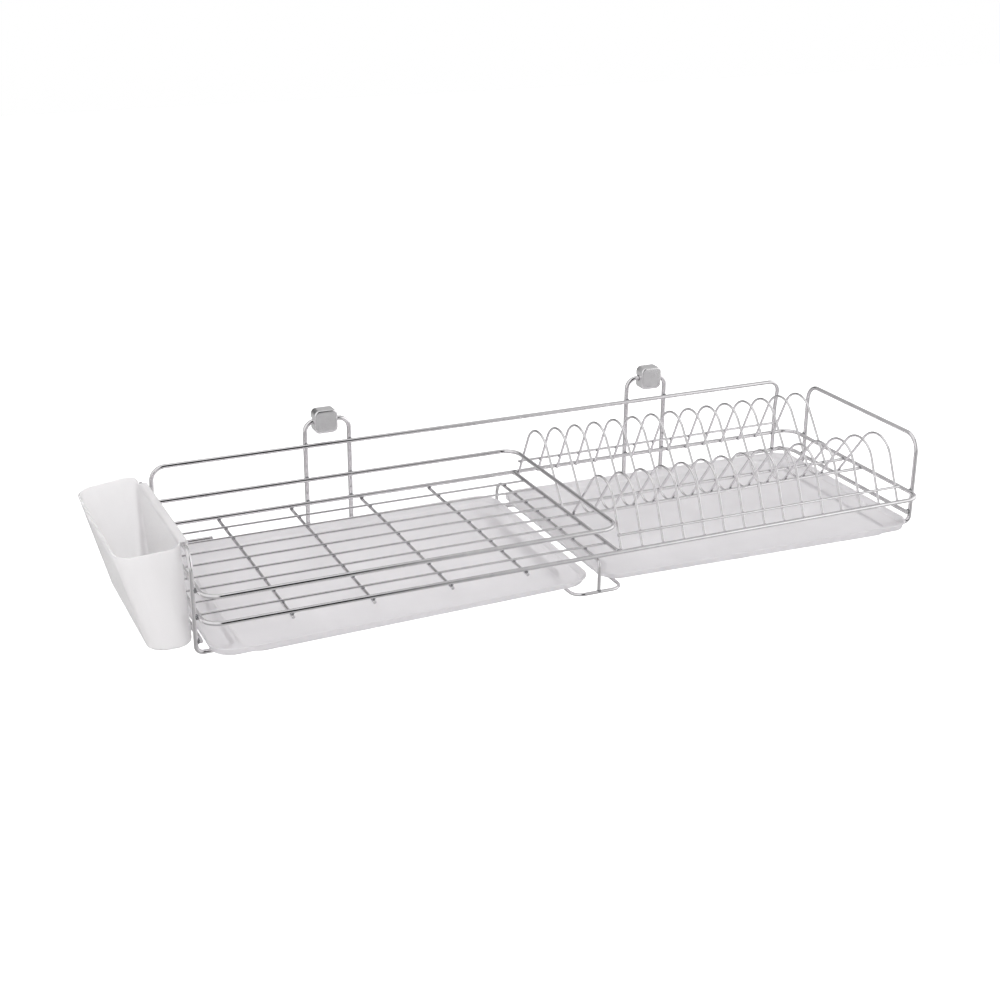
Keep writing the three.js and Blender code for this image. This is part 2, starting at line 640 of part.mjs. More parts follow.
// Tapered open box outside the left hoop, with a hook over the hoop's top bar. Its inner wall
// leans in below the bar and rests against the tray guard, and its rim climbs to a back corner.
function makeCutleryHolder() {
  const hoopFace = -HOOP_X - FRAME_WIRE / 2;
  const inner = hoopFace - HOLDER_GAP;
  const guardFace = -END_X - touching(FRAME_WIRE, 0);
  const rimZ = BASE_Z + HOLDER_RIM_HIGH;
  const footZ = BASE_Z - HOLDER_FOOT_DROP;
  const lean = (guardFace - inner) / (rimZ - TRAY_GUARD_Z);
  const footInner = inner + lean * (rimZ - footZ - HOLDER_EDGE);
  const halfLength = HOLDER_LENGTH / 2;
  const hookBack = MIDDLE_Y + HOOK_LENGTH / 2;
  const rimAt = (x, y) => {
    const inwards = 1 - (inner - x) / HOLDER_WIDTH;
    const climb = Math.min(Math.max((y - hookBack) / HOLDER_RISE_LENGTH, 0), 1);
    const slope = HOLDER_RIM_HIGH - HOLDER_RIM_LOW + HOLDER_BACK_RISE * climb;
    return BASE_Z + HOLDER_RIM_LOW + slope * inwards;
  };
  const ring = (innerX, width, draft, inset, heightAt) =>
    roundedRing(
      innerX - width + inset,
      innerX - inset,
      MIDDLE_Y - halfLength + draft + inset,
      MIDDLE_Y + halfLength - draft - inset,
      HOLDER_CORNER - inset,
      heightAt,
    );
  const rimRing = (inset) => ring(inner, HOLDER_WIDTH, 0, inset, rimAt);
  const footRing = (inset, rise) =>
    ring(footInner, HOLDER_FOOT_WIDTH, HOLDER_FOOT_DRAFT, inset, () => footZ + rise);
  const edgeInset = HOLDER_EDGE * EDGE_SHARE;
  const rings = [
    footRing(HOLDER_EDGE, 0),
    footRing(edgeInset, edgeInset),
    footRing(0, HOLDER_EDGE),
    rimRing(0),
    rimRing(HOLDER_WALL),
    footRing(HOLDER_WALL, HOLDER_EDGE),
    footRing(HOLDER_EDGE, HOLDER_WALL),
  ];
  let solid = toSolid(skinRings(rings)).add(toSolid(makeHolderHook(inner)));
  for (let slot = 0; slot < DRAIN_SLOTS; slot += 1) {
    const y = MIDDLE_Y + (slot - (DRAIN_SLOTS - 1) / 2) * DRAIN_PITCH;
    const x = footInner - HOLDER_FOOT_WIDTH / 2;
    const halfSlot = DRAIN_SLOT_LENGTH / 2;
    const cutter = boxBetween(
      x - halfSlot,
      x + halfSlot,
      y - DRAIN_SLOT_WIDTH / 2,
      y + DRAIN_SLOT_WIDTH / 2,
      footZ - CUT_OVERRUN,
      footZ + HOLDER_WALL + CUT_OVERRUN,
    );
    solid = solid.subtract(toSolid(cutter));
  }
  return place('cutlery_holder', toGeometry(solid), frostedPlastic());
}

// Hook's outline across the bar, drawn in x and z and run along the bar
function makeHolderHook(inner) {
  const under = HOOP_Z + FRAME_WIRE / 2 + WELD_GAP;
  const top = under + HOLDER_WALL;
  const lipInner = -HOOP_X + FRAME_WIRE / 2 + HOLDER_GAP;
  const lipOuter = lipInner + HOLDER_WALL;
  const lipFoot = under - HOOK_LIP;
  const outline = new THREE.Shape();
  outline.moveTo(inner - HOLDER_WALL / 2, under - HOLDER_WALL);
  outline.lineTo(inner, under - HOLDER_WALL);
  outline.lineTo(inner, under);
  outline.lineTo(lipInner, under);
  outline.lineTo(lipInner, lipFoot);
  outline.lineTo(lipOuter, lipFoot);
  outline.lineTo(lipOuter, top - HOLDER_WALL / 2);
  outline.lineTo(lipOuter - HOLDER_WALL / 2, top);
  outline.lineTo(inner - HOLDER_WALL / 2, top);
  const hook = new THREE.ExtrudeGeometry(outline, { depth: HOOK_LENGTH, bevelEnabled: false });
  hook.rotateX(Math.PI / 2);
  return hook.translate(0, MIDDLE_Y + HOOK_LENGTH / 2, 0);
}

function roundedSquare(size, wantedRadius) {
  const half = size / 2;
  const radius = Math.min(wantedRadius, half);
  const shape = new THREE.Shape();
  shape.absarc(half - radius, half - radius, radius, 0, Math.PI / 2);
  shape.absarc(-half + radius, half - radius, radius, Math.PI / 2, Math.PI);
  shape.absarc(-half + radius, -half + radius, radius, Math.PI, (3 * Math.PI) / 2);
  shape.absarc(half - radius, -half + radius, radius, (3 * Math.PI) / 2, 2 * Math.PI);
  return shape;
}

// Block with a rounded square outline facing the room, from backY out to frontY
function roundedBlock(size, radius, backY, frontY) {
  const geometry = new THREE.ExtrudeGeometry(roundedSquare(size, radius), {
    depth: backY - frontY,
    bevelEnabled: false,
    curveSegments: CORNER_STEPS / 2,
  });
  geometry.rotateX(Math.PI / 2);
  return geometry.translate(0, backY, 0);
}

// Square cap over a wall bracket, open at the back, with a notch in each side for the wire
function makeCap(name, side) {
  const rear = -CAP_WALL_GAP;
  const face = rear - CAP_DEPTH;
  const half = CAP_SIZE / 2;
  const ring = (inset, y) => {
    const reach = half - inset;
    const flat = roundedRing(-reach, reach, -reach, reach, CAP_CORNER - inset, () => 0);
    return flat.reverse().map((p) => point(p.x, y, p.y));
  };
  const edgeInset = CAP_EDGE * EDGE_SHARE;
  const rings = [
    ring(CAP_EDGE, face),
    ring(edgeInset, face + edgeInset),
    ring(0, face + CAP_EDGE),
    ring(0, rear),
    ring(CAP_WALL, rear),
    ring(CAP_WALL, face + CAP_EDGE),
    ring(CAP_EDGE, face + CAP_WALL),
  ];
  const wireRadius = HANGER_WIRE / 2 + NOTCH_CLEARANCE;
  const notch = boxBetween(
    -half - CUT_OVERRUN,
    half + CUT_OVERRUN,
    HANGER_Y - wireRadius,
    rear + CUT_OVERRUN,
    -wireRadius,
    wireRadius,
  );
  const solid = toSolid(skinRings(rings)).subtract(toSolid(notch));
  const mesh = place(name, toGeometry(solid), chrome());
  mesh.position.x = (side * BOSS_SPACING) / 2;
  return mesh;
}

// Profile in y and z turned round the screw's axis, which runs along y
function turned(profile) {
  const points = profile.map(([radius, y]) => new THREE.Vector2(radius, y));
  const geometry = new THREE.LatheGeometry(points, SCREW_SIDES);
  return geometry.translate(0, 0, SCREW_Z);
}

// Countersunk hole or head, whose widest end faces the room
function countersink(clearance, frontY, backY) {
  const face = -BRACKET_PLATE;
  const head = SCREW_HEAD / 2 + clearance;
  const shank = SCREW_SHANK / 2 + clearance;
  return turned([
    [0, frontY],
    [head, frontY],
    [head, face],
    [shank, face + SCREW_HEAD_DEPTH],
    [shank, backY],
    [0, backY],
  ]);
}

// Plate against the wall with a hook that carries the hanger's wire
function makeBracket(name, side) {
  const plate = toSolid(roundedBlock(BRACKET_SIZE, BRACKET_CORNER, 0, -BRACKET_PLATE));
  const hole = toSolid(countersink(SCREW_CLEARANCE, -BRACKET_PLATE - CUT_OVERRUN, CUT_OVERRUN));
  const lipRear = HANGER_Y - HANGER_WIRE / 2 - HOOK_CLEARANCE;
  const lipFront = lipRear - HOOK_THICKNESS;
  const half = HOOK_WIDTH / 2;
  const inPlate = -BRACKET_PLATE / 2;
  const ledge = boxBetween(-half, half, lipFront, inPlate, LEDGE_FOOT_Z, LEDGE_TOP_Z);
  const lip = boxBetween(-half, half, lipFront, lipRear, LEDGE_FOOT_Z, HOOK_RISE);
  const solid = plate.subtract(hole).add(toSolid(ledge)).add(toSolid(lip));
  const mesh = place(name, toGeometry(solid), zincSteel());
  mesh.position.x = (side * BOSS_SPACING) / 2;
  return mesh;
}

function makeScrew(name, side) {
  const face = -BRACKET_PLATE;
  const tip = face + SCREW_LENGTH;
  const body = turned([
    [0, face],
    [SCREW_HEAD / 2, face],
    [SCREW_SHANK / 2, face + SCREW_HEAD_DEPTH],
    [SCREW_SHANK / 2, tip - SCREW_TIP],
    [0, tip],
  ]);
  const slotDepth = CUT_OVERRUN + RECESS_DEPTH;
  const slotCentre = face + (RECESS_DEPTH - CUT_OVERRUN) / 2;
  const across = new THREE.BoxGeometry(RECESS_LENGTH, slotDepth, RECESS_WIDTH);
  across.translate(0, slotCentre, SCREW_Z);
  const upright = new THREE.BoxGeometry(RECESS_WIDTH, slotDepth, RECESS_LENGTH);
  upright.translate(0, slotCentre, SCREW_Z);
  const solid = toSolid(body).subtract(toSolid(across)).subtract(toSolid(upright));
  const mesh = place(name, toGeometry(solid), zincSteel());
  mesh.position.x = (side * BOSS_SPACING) / 2;
  return mesh;
}

// Sleeve in the wall round the screw's shank
function makeWallPlug(name, side) {
  const bore = SCREW_SHANK / 2 + SCREW_CLEARANCE;
  const outer = PLUG_DIAMETER / 2;
  const geometry = turned([
    [bore, PLUG_SETBACK],
    [outer, PLUG_SETBACK],
    [outer, PLUG_SETBACK + PLUG_LENGTH],
    [bore, PLUG_SETBACK + PLUG_LENGTH],
    [bore, PLUG_SETBACK],
  ]);
  const mesh = place(name, geometry, greyPlastic());
  mesh.position.x = (side * BOSS_SPACING) / 2;
  return mesh;
}

function buildRack() {
  const rack = new THREE.Group();
  rack.add(makeTopRail(), makeGuardLoop(), makeBaseLoop(), makeDividerRail());
  rack.add(makeEndHoop('end_hoop_left', -1), makeEndHoop('end_hoop_right', 1));
  rack.add(makeTrayGuard('tray_guard_left', -1), makeTrayGuard('tray_guard_right', 1));
  rack.add(makeHanger('hanger_left', -1), makeHanger('hanger_right', 1));
  for (let index = 0; index < GRID_WIRES; index += 1) rack.add(makeGridWire(index));
  for (let index = 0; index < CROSS_WIRES; index += 1) rack.add(makeCrossWire(index));
  rack.add(makeMiddleSupport(), makeTrayCradle());
  rack.add(makePlateRail('plate_rail_back', 1, PEAK_OFFSET_BACK));
  rack.add(makePlateRail('plate_rail_front', -1, PEAK_OFFSET_FRONT));
  for (let index = 0; index < DIVIDERS; index += 1) rack.add(makeDivider(index));
  rack.add(makeTieWire('tie_wire_back', 1, PEAK_OFFSET_BACK));
  rack.add(makeTieWire('tie_wire_front', -1, PEAK_OFFSET_FRONT));
  rack.add(makeTray('drip_tray_left', -1), makeTray('drip_tray_right', 1));
  rack.add(makeCutleryHolder());
  rack.add(makeBracket('wall_bracket_left', -1), makeBracket('wall_bracket_right', 1));
  rack.add(makeCap('cover_cap_left', -1), makeCap('cover_cap_right', 1));
  rack.add(makeScrew('wall_screw_left', -1), makeScrew('wall_screw_right', 1));
  rack.add(makeWallPlug('wall_plug_left', -1), makeWallPlug('wall_plug_right', 1));
  return rack;
}

export default buildRack();
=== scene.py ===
"""Looks of a wall-mounted dish rack: welded chrome wire, two drip trays and a cutlery holder.

Everything is in metres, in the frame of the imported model: +X right along the rack, +Y into the
wall, +Z up, with the origin on the wall midway between the two hanging points.
"""

import math

import bmesh
import bpy
from mathutils import Matrix, Vector
from mathutils.kdtree import KDTree


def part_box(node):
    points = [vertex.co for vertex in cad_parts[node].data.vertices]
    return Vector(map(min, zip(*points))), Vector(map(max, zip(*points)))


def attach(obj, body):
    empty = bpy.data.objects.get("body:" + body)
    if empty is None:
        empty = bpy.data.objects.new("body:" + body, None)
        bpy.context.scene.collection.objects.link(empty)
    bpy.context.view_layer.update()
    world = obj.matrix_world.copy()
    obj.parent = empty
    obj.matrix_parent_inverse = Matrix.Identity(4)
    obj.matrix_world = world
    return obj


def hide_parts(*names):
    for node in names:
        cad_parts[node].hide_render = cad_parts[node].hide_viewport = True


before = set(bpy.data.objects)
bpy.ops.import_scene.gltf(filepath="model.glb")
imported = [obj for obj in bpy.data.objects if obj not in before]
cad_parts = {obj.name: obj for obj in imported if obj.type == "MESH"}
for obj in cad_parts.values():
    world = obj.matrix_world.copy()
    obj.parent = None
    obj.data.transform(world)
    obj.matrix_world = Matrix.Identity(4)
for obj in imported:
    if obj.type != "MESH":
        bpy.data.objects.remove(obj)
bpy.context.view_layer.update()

# Wires
FRAME_RADIUS = 0.0025
HANGER_RADIUS = 0.00275
CROSS_RADIUS = 0.002
GRID_RADIUS = 0.0014
DIVIDER_RADIUS = 0.0015
WELD_GAP = 0.0003
LOOP_BEND = 0.020
HOOP_BEND = 0.020
TOP_RAIL_BEND = 0.016
LEG_JOG_DROP = 0.020
FOOT_BEND = 0.008
HANGER_BEND = 0.013
SUPPORT_BACK_BEND = 0.024
SUPPORT_FRONT_BEND = 0.008
CRADLE_BEND = 0.013
END_ROUNDING = 0.3  # share of a wire's radius

# Steps round curved forms
BEND_STEPS = 16
WIRE_SIDES = 20
CORNER_STEPS = 14
QUARTER_STEPS = 6
HALF_ROUND_STEPS = 8
SLOT_END_STEPS = 12
ROUND_SIDES = 32
END_FACES = 2  # flat faces that close a row of rings
SMALLEST_CORNER = 0.00001

# Plate dividers, above the base loop's centre line
PEAK_HEIGHT = 0.100
PEAK_OFFSET_BACK = 0.088
PEAK_OFFSET_FRONT = 0.094
DIP_DROP = 0.020
HUMP_BEND = 0.031
DIP_BEND = 0.019
DIVIDER_FOOT = 0.002

# Welds
SAMPLE_STEP = 0.0008
CONTACT_GAP = 0.0007
WELD_SPREAD = 1.35  # share of the thinner wire's radius
WELD_HEIGHT = 0.75

# Drip trays
TRAY_RIM_WIDTH = 0.002
TRAY_RIM_THICKNESS = 0.002
TRAY_CORNER = 0.028
TRAY_WALL = 0.0018
TRAY_DRAFT = 0.0015
TRAY_EDGE = 0.003
TRAY_DEPTH_OUTER = 0.0087  # from the shelf to the rim
TRAY_DEPTH_INNER = 0.0055
TRAY_FALL = 0.0082
TRAY_STEP = 0.0032  # from the shelf down to the basin's underside
TRAY_STEP_GAP = 0.0015
TRAY_LEDGE = 0.0004
TRAY_SOFT = 0.0012  # rounding of the inside edges
TRAY_FLOOR_RING = 0.004  # from the rounded foot to the floor's flat face
TRAY_RIM_TOP = 0.4  # share of the rim's top that stays level
TRAY_RIB_WIDTH = 0.008
TRAY_RIB_END_GAP = 0.045
TRAY_RIB_SOFT = 0.0012
TRAY_RIB_CORNER = 0.9  # share of half the rib's width

# Rings beside a tray's edges that keep the shading of its long faces even
TRAY_FOOT_RING = (0.0003, 0.0006)  # outwards and up from the wall's foot
TRAY_TOP_RING = (0.0006, 0.0008)  # inwards and down from the wall's top
LEDGE_BELOW = (0.6, 0.3)  # shares of the ledge
LEDGE_ABOVE = (0.7, 0.8, 0.9)

# Cutlery holder
HOLDER_FOOT_WIDTH = 0.048
HOLDER_FOOT_DRAFT = 0.003
HOLDER_RIM_LOW = 0.0715  # rim's outer edge above the base loop's centre line
HOLDER_RIM_HIGH = 0.0745  # rim's inner edge
HOLDER_BACK_RISE = 0.006
HOLDER_RISE_LENGTH = 0.008
HOLDER_CORNER = 0.020
HOLDER_WALL = 0.002
HOLDER_EDGE = 0.004
HOLDER_GAP = 0.0005
WALL_STEPS = 6
HOOK_INSET = 0.0165
HOOK_LIP = 0.007
HOOK_BEND = 0.0015
DRAIN_SLOTS = 6
DRAIN_PITCH = 0.024
DRAIN_SLOT_WIDTH = 0.004
DRAIN_SLOT_LENGTH = 0.024

# Wall fixings
CAP_WALL = 0.0012
CAP_CORNER = 0.0065
CAP_EDGE = 0.002
CAP_LIP = 0.0003
NOTCH_CLEARANCE = 0.0008
PLUG_BORE = 0.00205
PLUG_RIDGE = 0.0014  # from one ridge of the plug to the next
PLUG_GROOVE = 0.0003
PLUG_GROOVE_SPAN = (0.1, 0.4)  # shares of a ridge's length
PLUG_SLIT = 0.0007
SCREW_CORE = 0.0013
SCREW_THREAD = 0.00175
SCREW_HEAD_DEPTH = 0.0015
SCREW_EDGE = 0.0003
SCREW_TIP = 0.003
THREAD_PITCH = 0.0016
THREAD_STEPS = 8  # rings in one turn of the thread
THREAD_SLOPE = 5
RECESS_LENGTH = 0.0036
RECESS_WIDTH = 0.0008
RECESS_DEPTH = 0.0008
CUT_OVERRUN = 0.001
SHARP_ANGLE = math.radians(38)
BRACKET_EDGE = 0.0003
BRACKET_EDGE_STEPS = 3
BRACKET_EDGE_ANGLE = math.radians(30)

# Camera, as the photograph was taken
CAMERA_PLACE = Vector((-0.79018, -1.75308, 0.61756))
CAMERA_TURN = math.radians(24.637)
CAMERA_TILT = math.radians(21.483)
CAMERA_ROLL = math.radians(0.437)
FOCAL_PIXELS = 1622.08
IMAGE_PIXELS = 1000
SENSOR = 36
CLIP_END = 100

FLOOR_Z = -0.62
FLOOR_SIZE = 14
FLOOR_GREY = 0.9
FLOOR_ROUGHNESS = 0.9
FLOOR_GLOW = 0.5

# Lamps, both aimed at the middle of the rack
LAMP_TARGET = Vector((0, -0.15, -0.1))
KEY_PLACE = Vector((-1.6, -1.6, 2.4))
KEY_SIZE = (1.8, 1.4)
KEY_POWER = 20
FILL_PLACE = Vector((2.2, -2.4, 1.2))
FILL_SIZE = (1.6, 1.6)
FILL_POWER = 10

# Share of a noise's range that a material's colour and roughness follow
NOISE_LOW = 0.3
NOISE_HIGH = 0.7

# Greys that the chrome sees, each with its height in the direction, from -1 down to 1 up
SIDE_GREYS = ((-1, 0.45), (-0.3, 0.45), (0, 0.9), (1, 1.0))
LEFT_GREYS = (
    (-1, 0.55), (-0.6, 0.58), (-0.27, 0.56), (-0.18, 0.02), (-0.12, 0.01),
    (0.76, 0.01), (0.84, 0.25), (0.92, 1.0), (1, 1.0),
)
MIDDLE_GREYS = (
    (-1, 0.50), (-0.5, 0.52), (-0.1, 0.50), (0.2, 0.62), (0.6, 0.66), (0.85, 0.60), (1, 0.70),
)
RIGHT_GREYS = (
    (-1, 0.56), (-0.38, 0.58), (-0.15, 0.9), (0, 1.3), (0.5, 1.3), (0.75, 0.56), (1, 0.6),
)
BACK_DARK_GREYS = (
    (-1, 0.50), (-0.3, 0.56), (0, 0.28), (0.3, 0.12), (0.55, 0.25), (0.85, 0.60), (1, 0.9),
)
BACK_LIGHT_GREYS = (
    (-1, 0.50), (-0.3, 0.56), (0, 0.48), (0.35, 0.54), (0.6, 0.54), (0.85, 0.60), (1, 0.9),
)

# Where one zone of greys gives way to the next, along X or Y of the direction
LEFT_START = (-0.25, -0.02)
MIDDLE_START = (0.26, 0.41)
RIGHT_START = (0.40, 0.54)
BACK_START = (0.30, 0.62)
BACK_DARK_START = (0.74, 0.87)
BACK_DARK_END = (-0.05, 0.25)

# Plain light on every surface, a little stronger from above
PLAIN_GREYS = ((-1, 0.85), (0, 0.85), (1, 1.2))


# Makes and links the nodes of a material or of the world
class Nodes:
    def __init__(self, tree):
        self.tree = tree

    def node(self, kind, **settings):
        made = self.tree.nodes.new(kind)
        for key, value in settings.items():
            setattr(made, key, value)
        return made

    def link(self, output, target):
        self.tree.links.new(output, target)

    def mapped(self, source, start, end, low=0, high=1, **settings):
        made = self.node("ShaderNodeMapRange", **settings)
        made.inputs["From Min"].default_value = start
        made.inputs["From Max"].default_value = end
        made.inputs["To Min"].default_value = low
        made.inputs["To Max"].default_value = high
        self.link(source, made.inputs["Value"])
        return made.outputs["Result"]


# A material's nodes, whose patterns lie in the object's own place
class Recipe(Nodes):
    def __init__(self, name):
        self.material = bpy.data.materials.new(name)
        self.material.use_nodes = True
        super().__init__(self.material.node_tree)
        self.shader = self.tree.nodes["Principled BSDF"]
        self.place = self.node("ShaderNodeTexCoord").outputs["Object"]

    def noise(self, scale, detail, stretch=None):
        made = self.node("ShaderNodeTexNoise")
        made.inputs["Scale"].default_value = scale
        made.inputs["Detail"].default_value = detail
        place = self.place
        if stretch:
            mapping = self.node("ShaderNodeMapping")
            mapping.inputs["Scale"].default_value = stretch
            self.link(place, mapping.inputs["Vector"])
            place = mapping.outputs["Vector"]
        self.link(place, made.inputs["Vector"])
        return made.outputs["Fac"]

    def colour(self, source, dark, pale):
        made = self.node("ShaderNodeValToRGB")
        low, high = made.color_ramp.elements
        low.position = NOISE_LOW
        low.color = (*dark, 1)
        high.position = NOISE_HIGH
        high.color = (*pale, 1)
        self.link(source, made.inputs["Fac"])
        self.link(made.outputs["Color"], self.shader.inputs["Base Color"])

    def roughness(self, source, low, high):
        made = self.mapped(source, NOISE_LOW, NOISE_HIGH, low, high)
        self.link(made, self.shader.inputs["Roughness"])

    def bump(self, source, strength, depth):
        made = self.node("ShaderNodeBump")
        made.inputs["Strength"].default_value = strength
        made.inputs["Distance"].default_value = depth
        self.link(source, made.inputs["Height"])
        self.link(made.outputs["Normal"], self.shader.inputs["Normal"])

    def set(self, **values):
        for key, value in values.items():
            self.shader.inputs[key.replace("_", " ")].default_value = value


# Bright chrome plate, with faint ripples and a little uneven polish
def chrome_plate():
    made = Recipe("chrome_plate")
    made.set(Metallic=1.0, IOR=2.5)
    polish = made.noise(scale=90, detail=4)
    made.colour(polish, dark=(0.725, 0.711, 0.725), pale=(0.805, 0.79, 0.805))
    made.roughness(made.noise(scale=260, detail=3), low=0.03, high=0.07)
    made.bump(made.noise(scale=1400, detail=2), strength=0.10, depth=0.00006)
    return made.material


# The squeezed metal of a weld under its plating: duller and slightly lumpy
def weld_metal():
    made = Recipe("weld_metal")
    made.set(Metallic=1.0, IOR=2.5)
    lumps = made.noise(scale=900, detail=4)
    made.colour(lumps, dark=(0.18, 0.18, 0.19), pale=(0.38, 0.38, 0.39))
    made.roughness(lumps, low=0.18, high=0.34)
    made.bump(lumps, strength=0.4, depth=0.0002)
    return made.material


# Satin chrome plate
def cap_metal():
    made = Recipe("cap_metal")
    made.set(Metallic=1.0, IOR=2.5)
    cloud = made.noise(scale=60, detail=3)
    made.colour(cloud, dark=(0.78, 0.77, 0.78), pale=(0.86, 0.85, 0.86))
    made.roughness(made.noise(scale=300, detail=4), low=0.12, high=0.20)
    made.bump(made.noise(scale=1100, detail=3), strength=0.12, depth=0.0001)
    return made.material


# Rolled and zinc-plated steel with a fine grain along the strip
def zinc_steel():
    made = Recipe("zinc_steel")
    made.set(Metallic=1.0)
    grain = made.noise(scale=500, detail=5, stretch=(0.15, 1, 1))
    made.colour(grain, dark=(0.48, 0.49, 0.50), pale=(0.64, 0.65, 0.67))
    made.roughness(grain, low=0.30, high=0.46)
    made.bump(grain, strength=0.25, depth=0.0001)
    return made.material


# Frosted polypropylene that lets some light through, with the fine grain of its mould
def frosted_plastic(name, dark, pale, clearness):
    made = Recipe(name)
    made.set(IOR=1.18, Transmission_Weight=clearness)
    made.colour(made.noise(scale=26, detail=4), dark, pale)
    made.roughness(made.noise(scale=420, detail=3), low=0.30, high=0.42)
    made.bump(made.noise(scale=900, detail=2), strength=0.05, depth=0.00005)
    return made.material


def plug_plastic():
    made = Recipe("plug_plastic")
    cloud = made.noise(scale=220, detail=3)
    made.colour(cloud, dark=(0.30, 0.31, 0.32), pale=(0.38, 0.39, 0.40))
    made.roughness(cloud, low=0.45, high=0.62)
    made.bump(made.noise(scale=1500, detail=3), strength=0.2, depth=0.0001)
    return made.material


CHROME = chrome_plate()
WELD = weld_metal()
CAP = cap_metal()
ZINC = zinc_steel()
PLUG = plug_plastic()
TRAY_PLASTIC = frosted_plastic(
    "tray_plastic", dark=(0.81, 0.795, 0.81), pale=(0.85, 0.835, 0.85), clearness=0.55
)
HOLDER_PLASTIC = frosted_plastic(
    "holder_plastic", dark=(0.93, 0.92, 0.925), pale=(0.95, 0.94, 0.945), clearness=0.6
)


# A finished piece in the scene, smooth but for the flat faces at the end of its list
def finish_piece(name, vertices, faces, material, body, flat_faces):
    mesh = bpy.data.meshes.new(name)
    mesh.from_pydata([tuple(v) for v in vertices], [], faces)
    last_smooth = len(faces) - flat_faces
    for index, polygon in enumerate(mesh.polygons):
        polygon.use_smooth = index < last_smooth
    mesh.validate()
    mesh.materials.append(material)
    piece = bpy.data.objects.new(name, mesh)
    bpy.context.scene.collection.objects.link(piece)
    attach(piece, body)
    return piece


# Points of one rounded corner
def bend_points(before, corner, after, wanted_radius):
    to_before = before - corner
    to_after = after - corner
    room = min(to_before.length, to_after.length) / 2
    to_before.normalize()
    to_after.normalize()
    half = to_before.angle(to_after) / 2
    setback = min(wanted_radius / math.tan(half), room)
    radius = setback * math.tan(half)
    start = corner + to_before * setback
    centre = corner + (to_before + to_after).normalized() * (radius / math.sin(half))
    axis = to_before.cross(to_after).normalized()
    sweep = 2 * half - math.pi
    spoke = start - centre
    return [
        centre + Matrix.Rotation(sweep * step / BEND_STEPS, 3, axis) @ spoke
        for step in range(BEND_STEPS + 1)
    ]


def bent_line(corners, radii):
    points = [corners[0]]
    for before, corner, after, radius in zip(corners, corners[1:], corners[2:], radii):
        points += bend_points(before, corner, after, radius)
    return points + [corners[-1]]


# Closed line with every corner rounded
def closed_line(corners, radii):
    points = []
    for index, corner in enumerate(corners):
        after = corners[(index + 1) % len(corners)]
        points += bend_points(corners[index - 1], corner, after, radii[index])
    return points


# Faces from ring to ring, and over both ends unless the last ring meets the first
def ring_faces(rings, sides, closed):
    faces = []
    for ring in range(rings if closed else rings - 1):
        here = ring * sides
        there = ((ring + 1) % rings) * sides
        for side in range(sides):
            after = (side + 1) % sides
            faces.append((here + side, here + after, there + after, there + side))
    if not closed:
        end = (rings - 1) * sides
        faces.append(tuple(range(sides - 1, -1, -1)))
        faces.append(tuple(range(end, end + sides)))
    return faces


# Round wire along a line, its cut ends slightly rounded, with a second ring behind each end so
# that the rounding doesn't bend the reflections along the wire
def tube(points, radius, closed):
    count = len(points)
    directions = []
    for index in range(count):
        before = points[index - 1] if closed or index else points[0]
        after = points[(index + 1) % count] if closed or index < count - 1 else points[-1]
        directions.append((after - before).normalized())
    side = directions[0].orthogonal().normalized()
    stations = []
    for index, (middle, direction) in enumerate(zip(points, directions)):
        side = (side - direction * side.dot(direction)).normalized()
        stations.append((middle, direction, side, radius))
    if not closed:
        soft = radius * END_ROUNDING
        ends = []
        for (middle, direction, side, _), inwards in ((stations[0], 1), (stations[-1], -1)):
            end = [(middle, direction, side, radius - soft)]
            for step in (1, 2):
                end.append((middle + direction * soft * step * inwards, direction, side, radius))
            ends.append(end)
        stations = ends[0] + stations[1:-1] + ends[1][::-1]
    vertices = []
    for middle, direction, side, reach in stations:
        other = direction.cross(side)
        for step in range(WIRE_SIDES):
            angle = 2 * math.pi * step / WIRE_SIDES
            vertices.append(middle + (side * math.cos(angle) + other * math.sin(angle)) * reach)
    return vertices, ring_faces(len(stations), WIRE_SIDES, closed)


wire_lines = []


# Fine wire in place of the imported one, its line kept for the welds
def wire(node, points, radius, closed=False):
    vertices, faces = tube(points, radius, closed)
    flat = 0 if closed else END_FACES
    name = node + "_fine"
    piece = finish_piece(name, vertices, faces, CHROME, "hung_frame", flat)
    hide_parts(node)
    wire_lines.append((points + points[:1] if closed else points, radius))


# Inner box through a bent wire's centre line
def line_box(node, radius):
    low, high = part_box(node)
    inset = Vector((radius, radius, radius))
    return low + inset, high - inset


def straight_wire(node, radius):
    low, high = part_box(node)
    middle = (low + high) / 2
    size = high - low
    axis = max(range(3), key=lambda index: size[index])
    start = middle.copy()
    end = middle.copy()
    start[axis] = low[axis]
    end[axis] = high[axis]
    wire(node, [start, end], radius)


def flat_loop(node, radius, bend):
    low, high = line_box(node, radius)
    z = (low.z + high.z) / 2
    corners = [
        Vector((low.x, high.y, z)),
        Vector((high.x, high.y, z)),
        Vector((high.x, low.y, z)),
        Vector((low.x, low.y, z)),
    ]
    wire(node, closed_line(corners, [bend] * len(corners)), radius, closed=True)


def top_rail():
    low, high = line_box("top_rail", FRAME_RADIUS)
    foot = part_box("top_rail")[0].z
    jog = high.z - TOP_RAIL_BEND - LEG_JOG_DROP
    corners = [
        Vector((low.x, high.y, foot)),
        Vector((low.x, high.y, jog)),
        Vector((low.x, low.y, high.z)),
        Vector((high.x, low.y, high.z)),
        Vector((high.x, high.y, jog)),
        Vector((high.x, high.y, foot)),
    ]
    radii = [LEG_JOG_DROP, TOP_RAIL_BEND, TOP_RAIL_BEND, LEG_JOG_DROP]
    wire("top_rail", bent_line(corners, radii), FRAME_RADIUS)


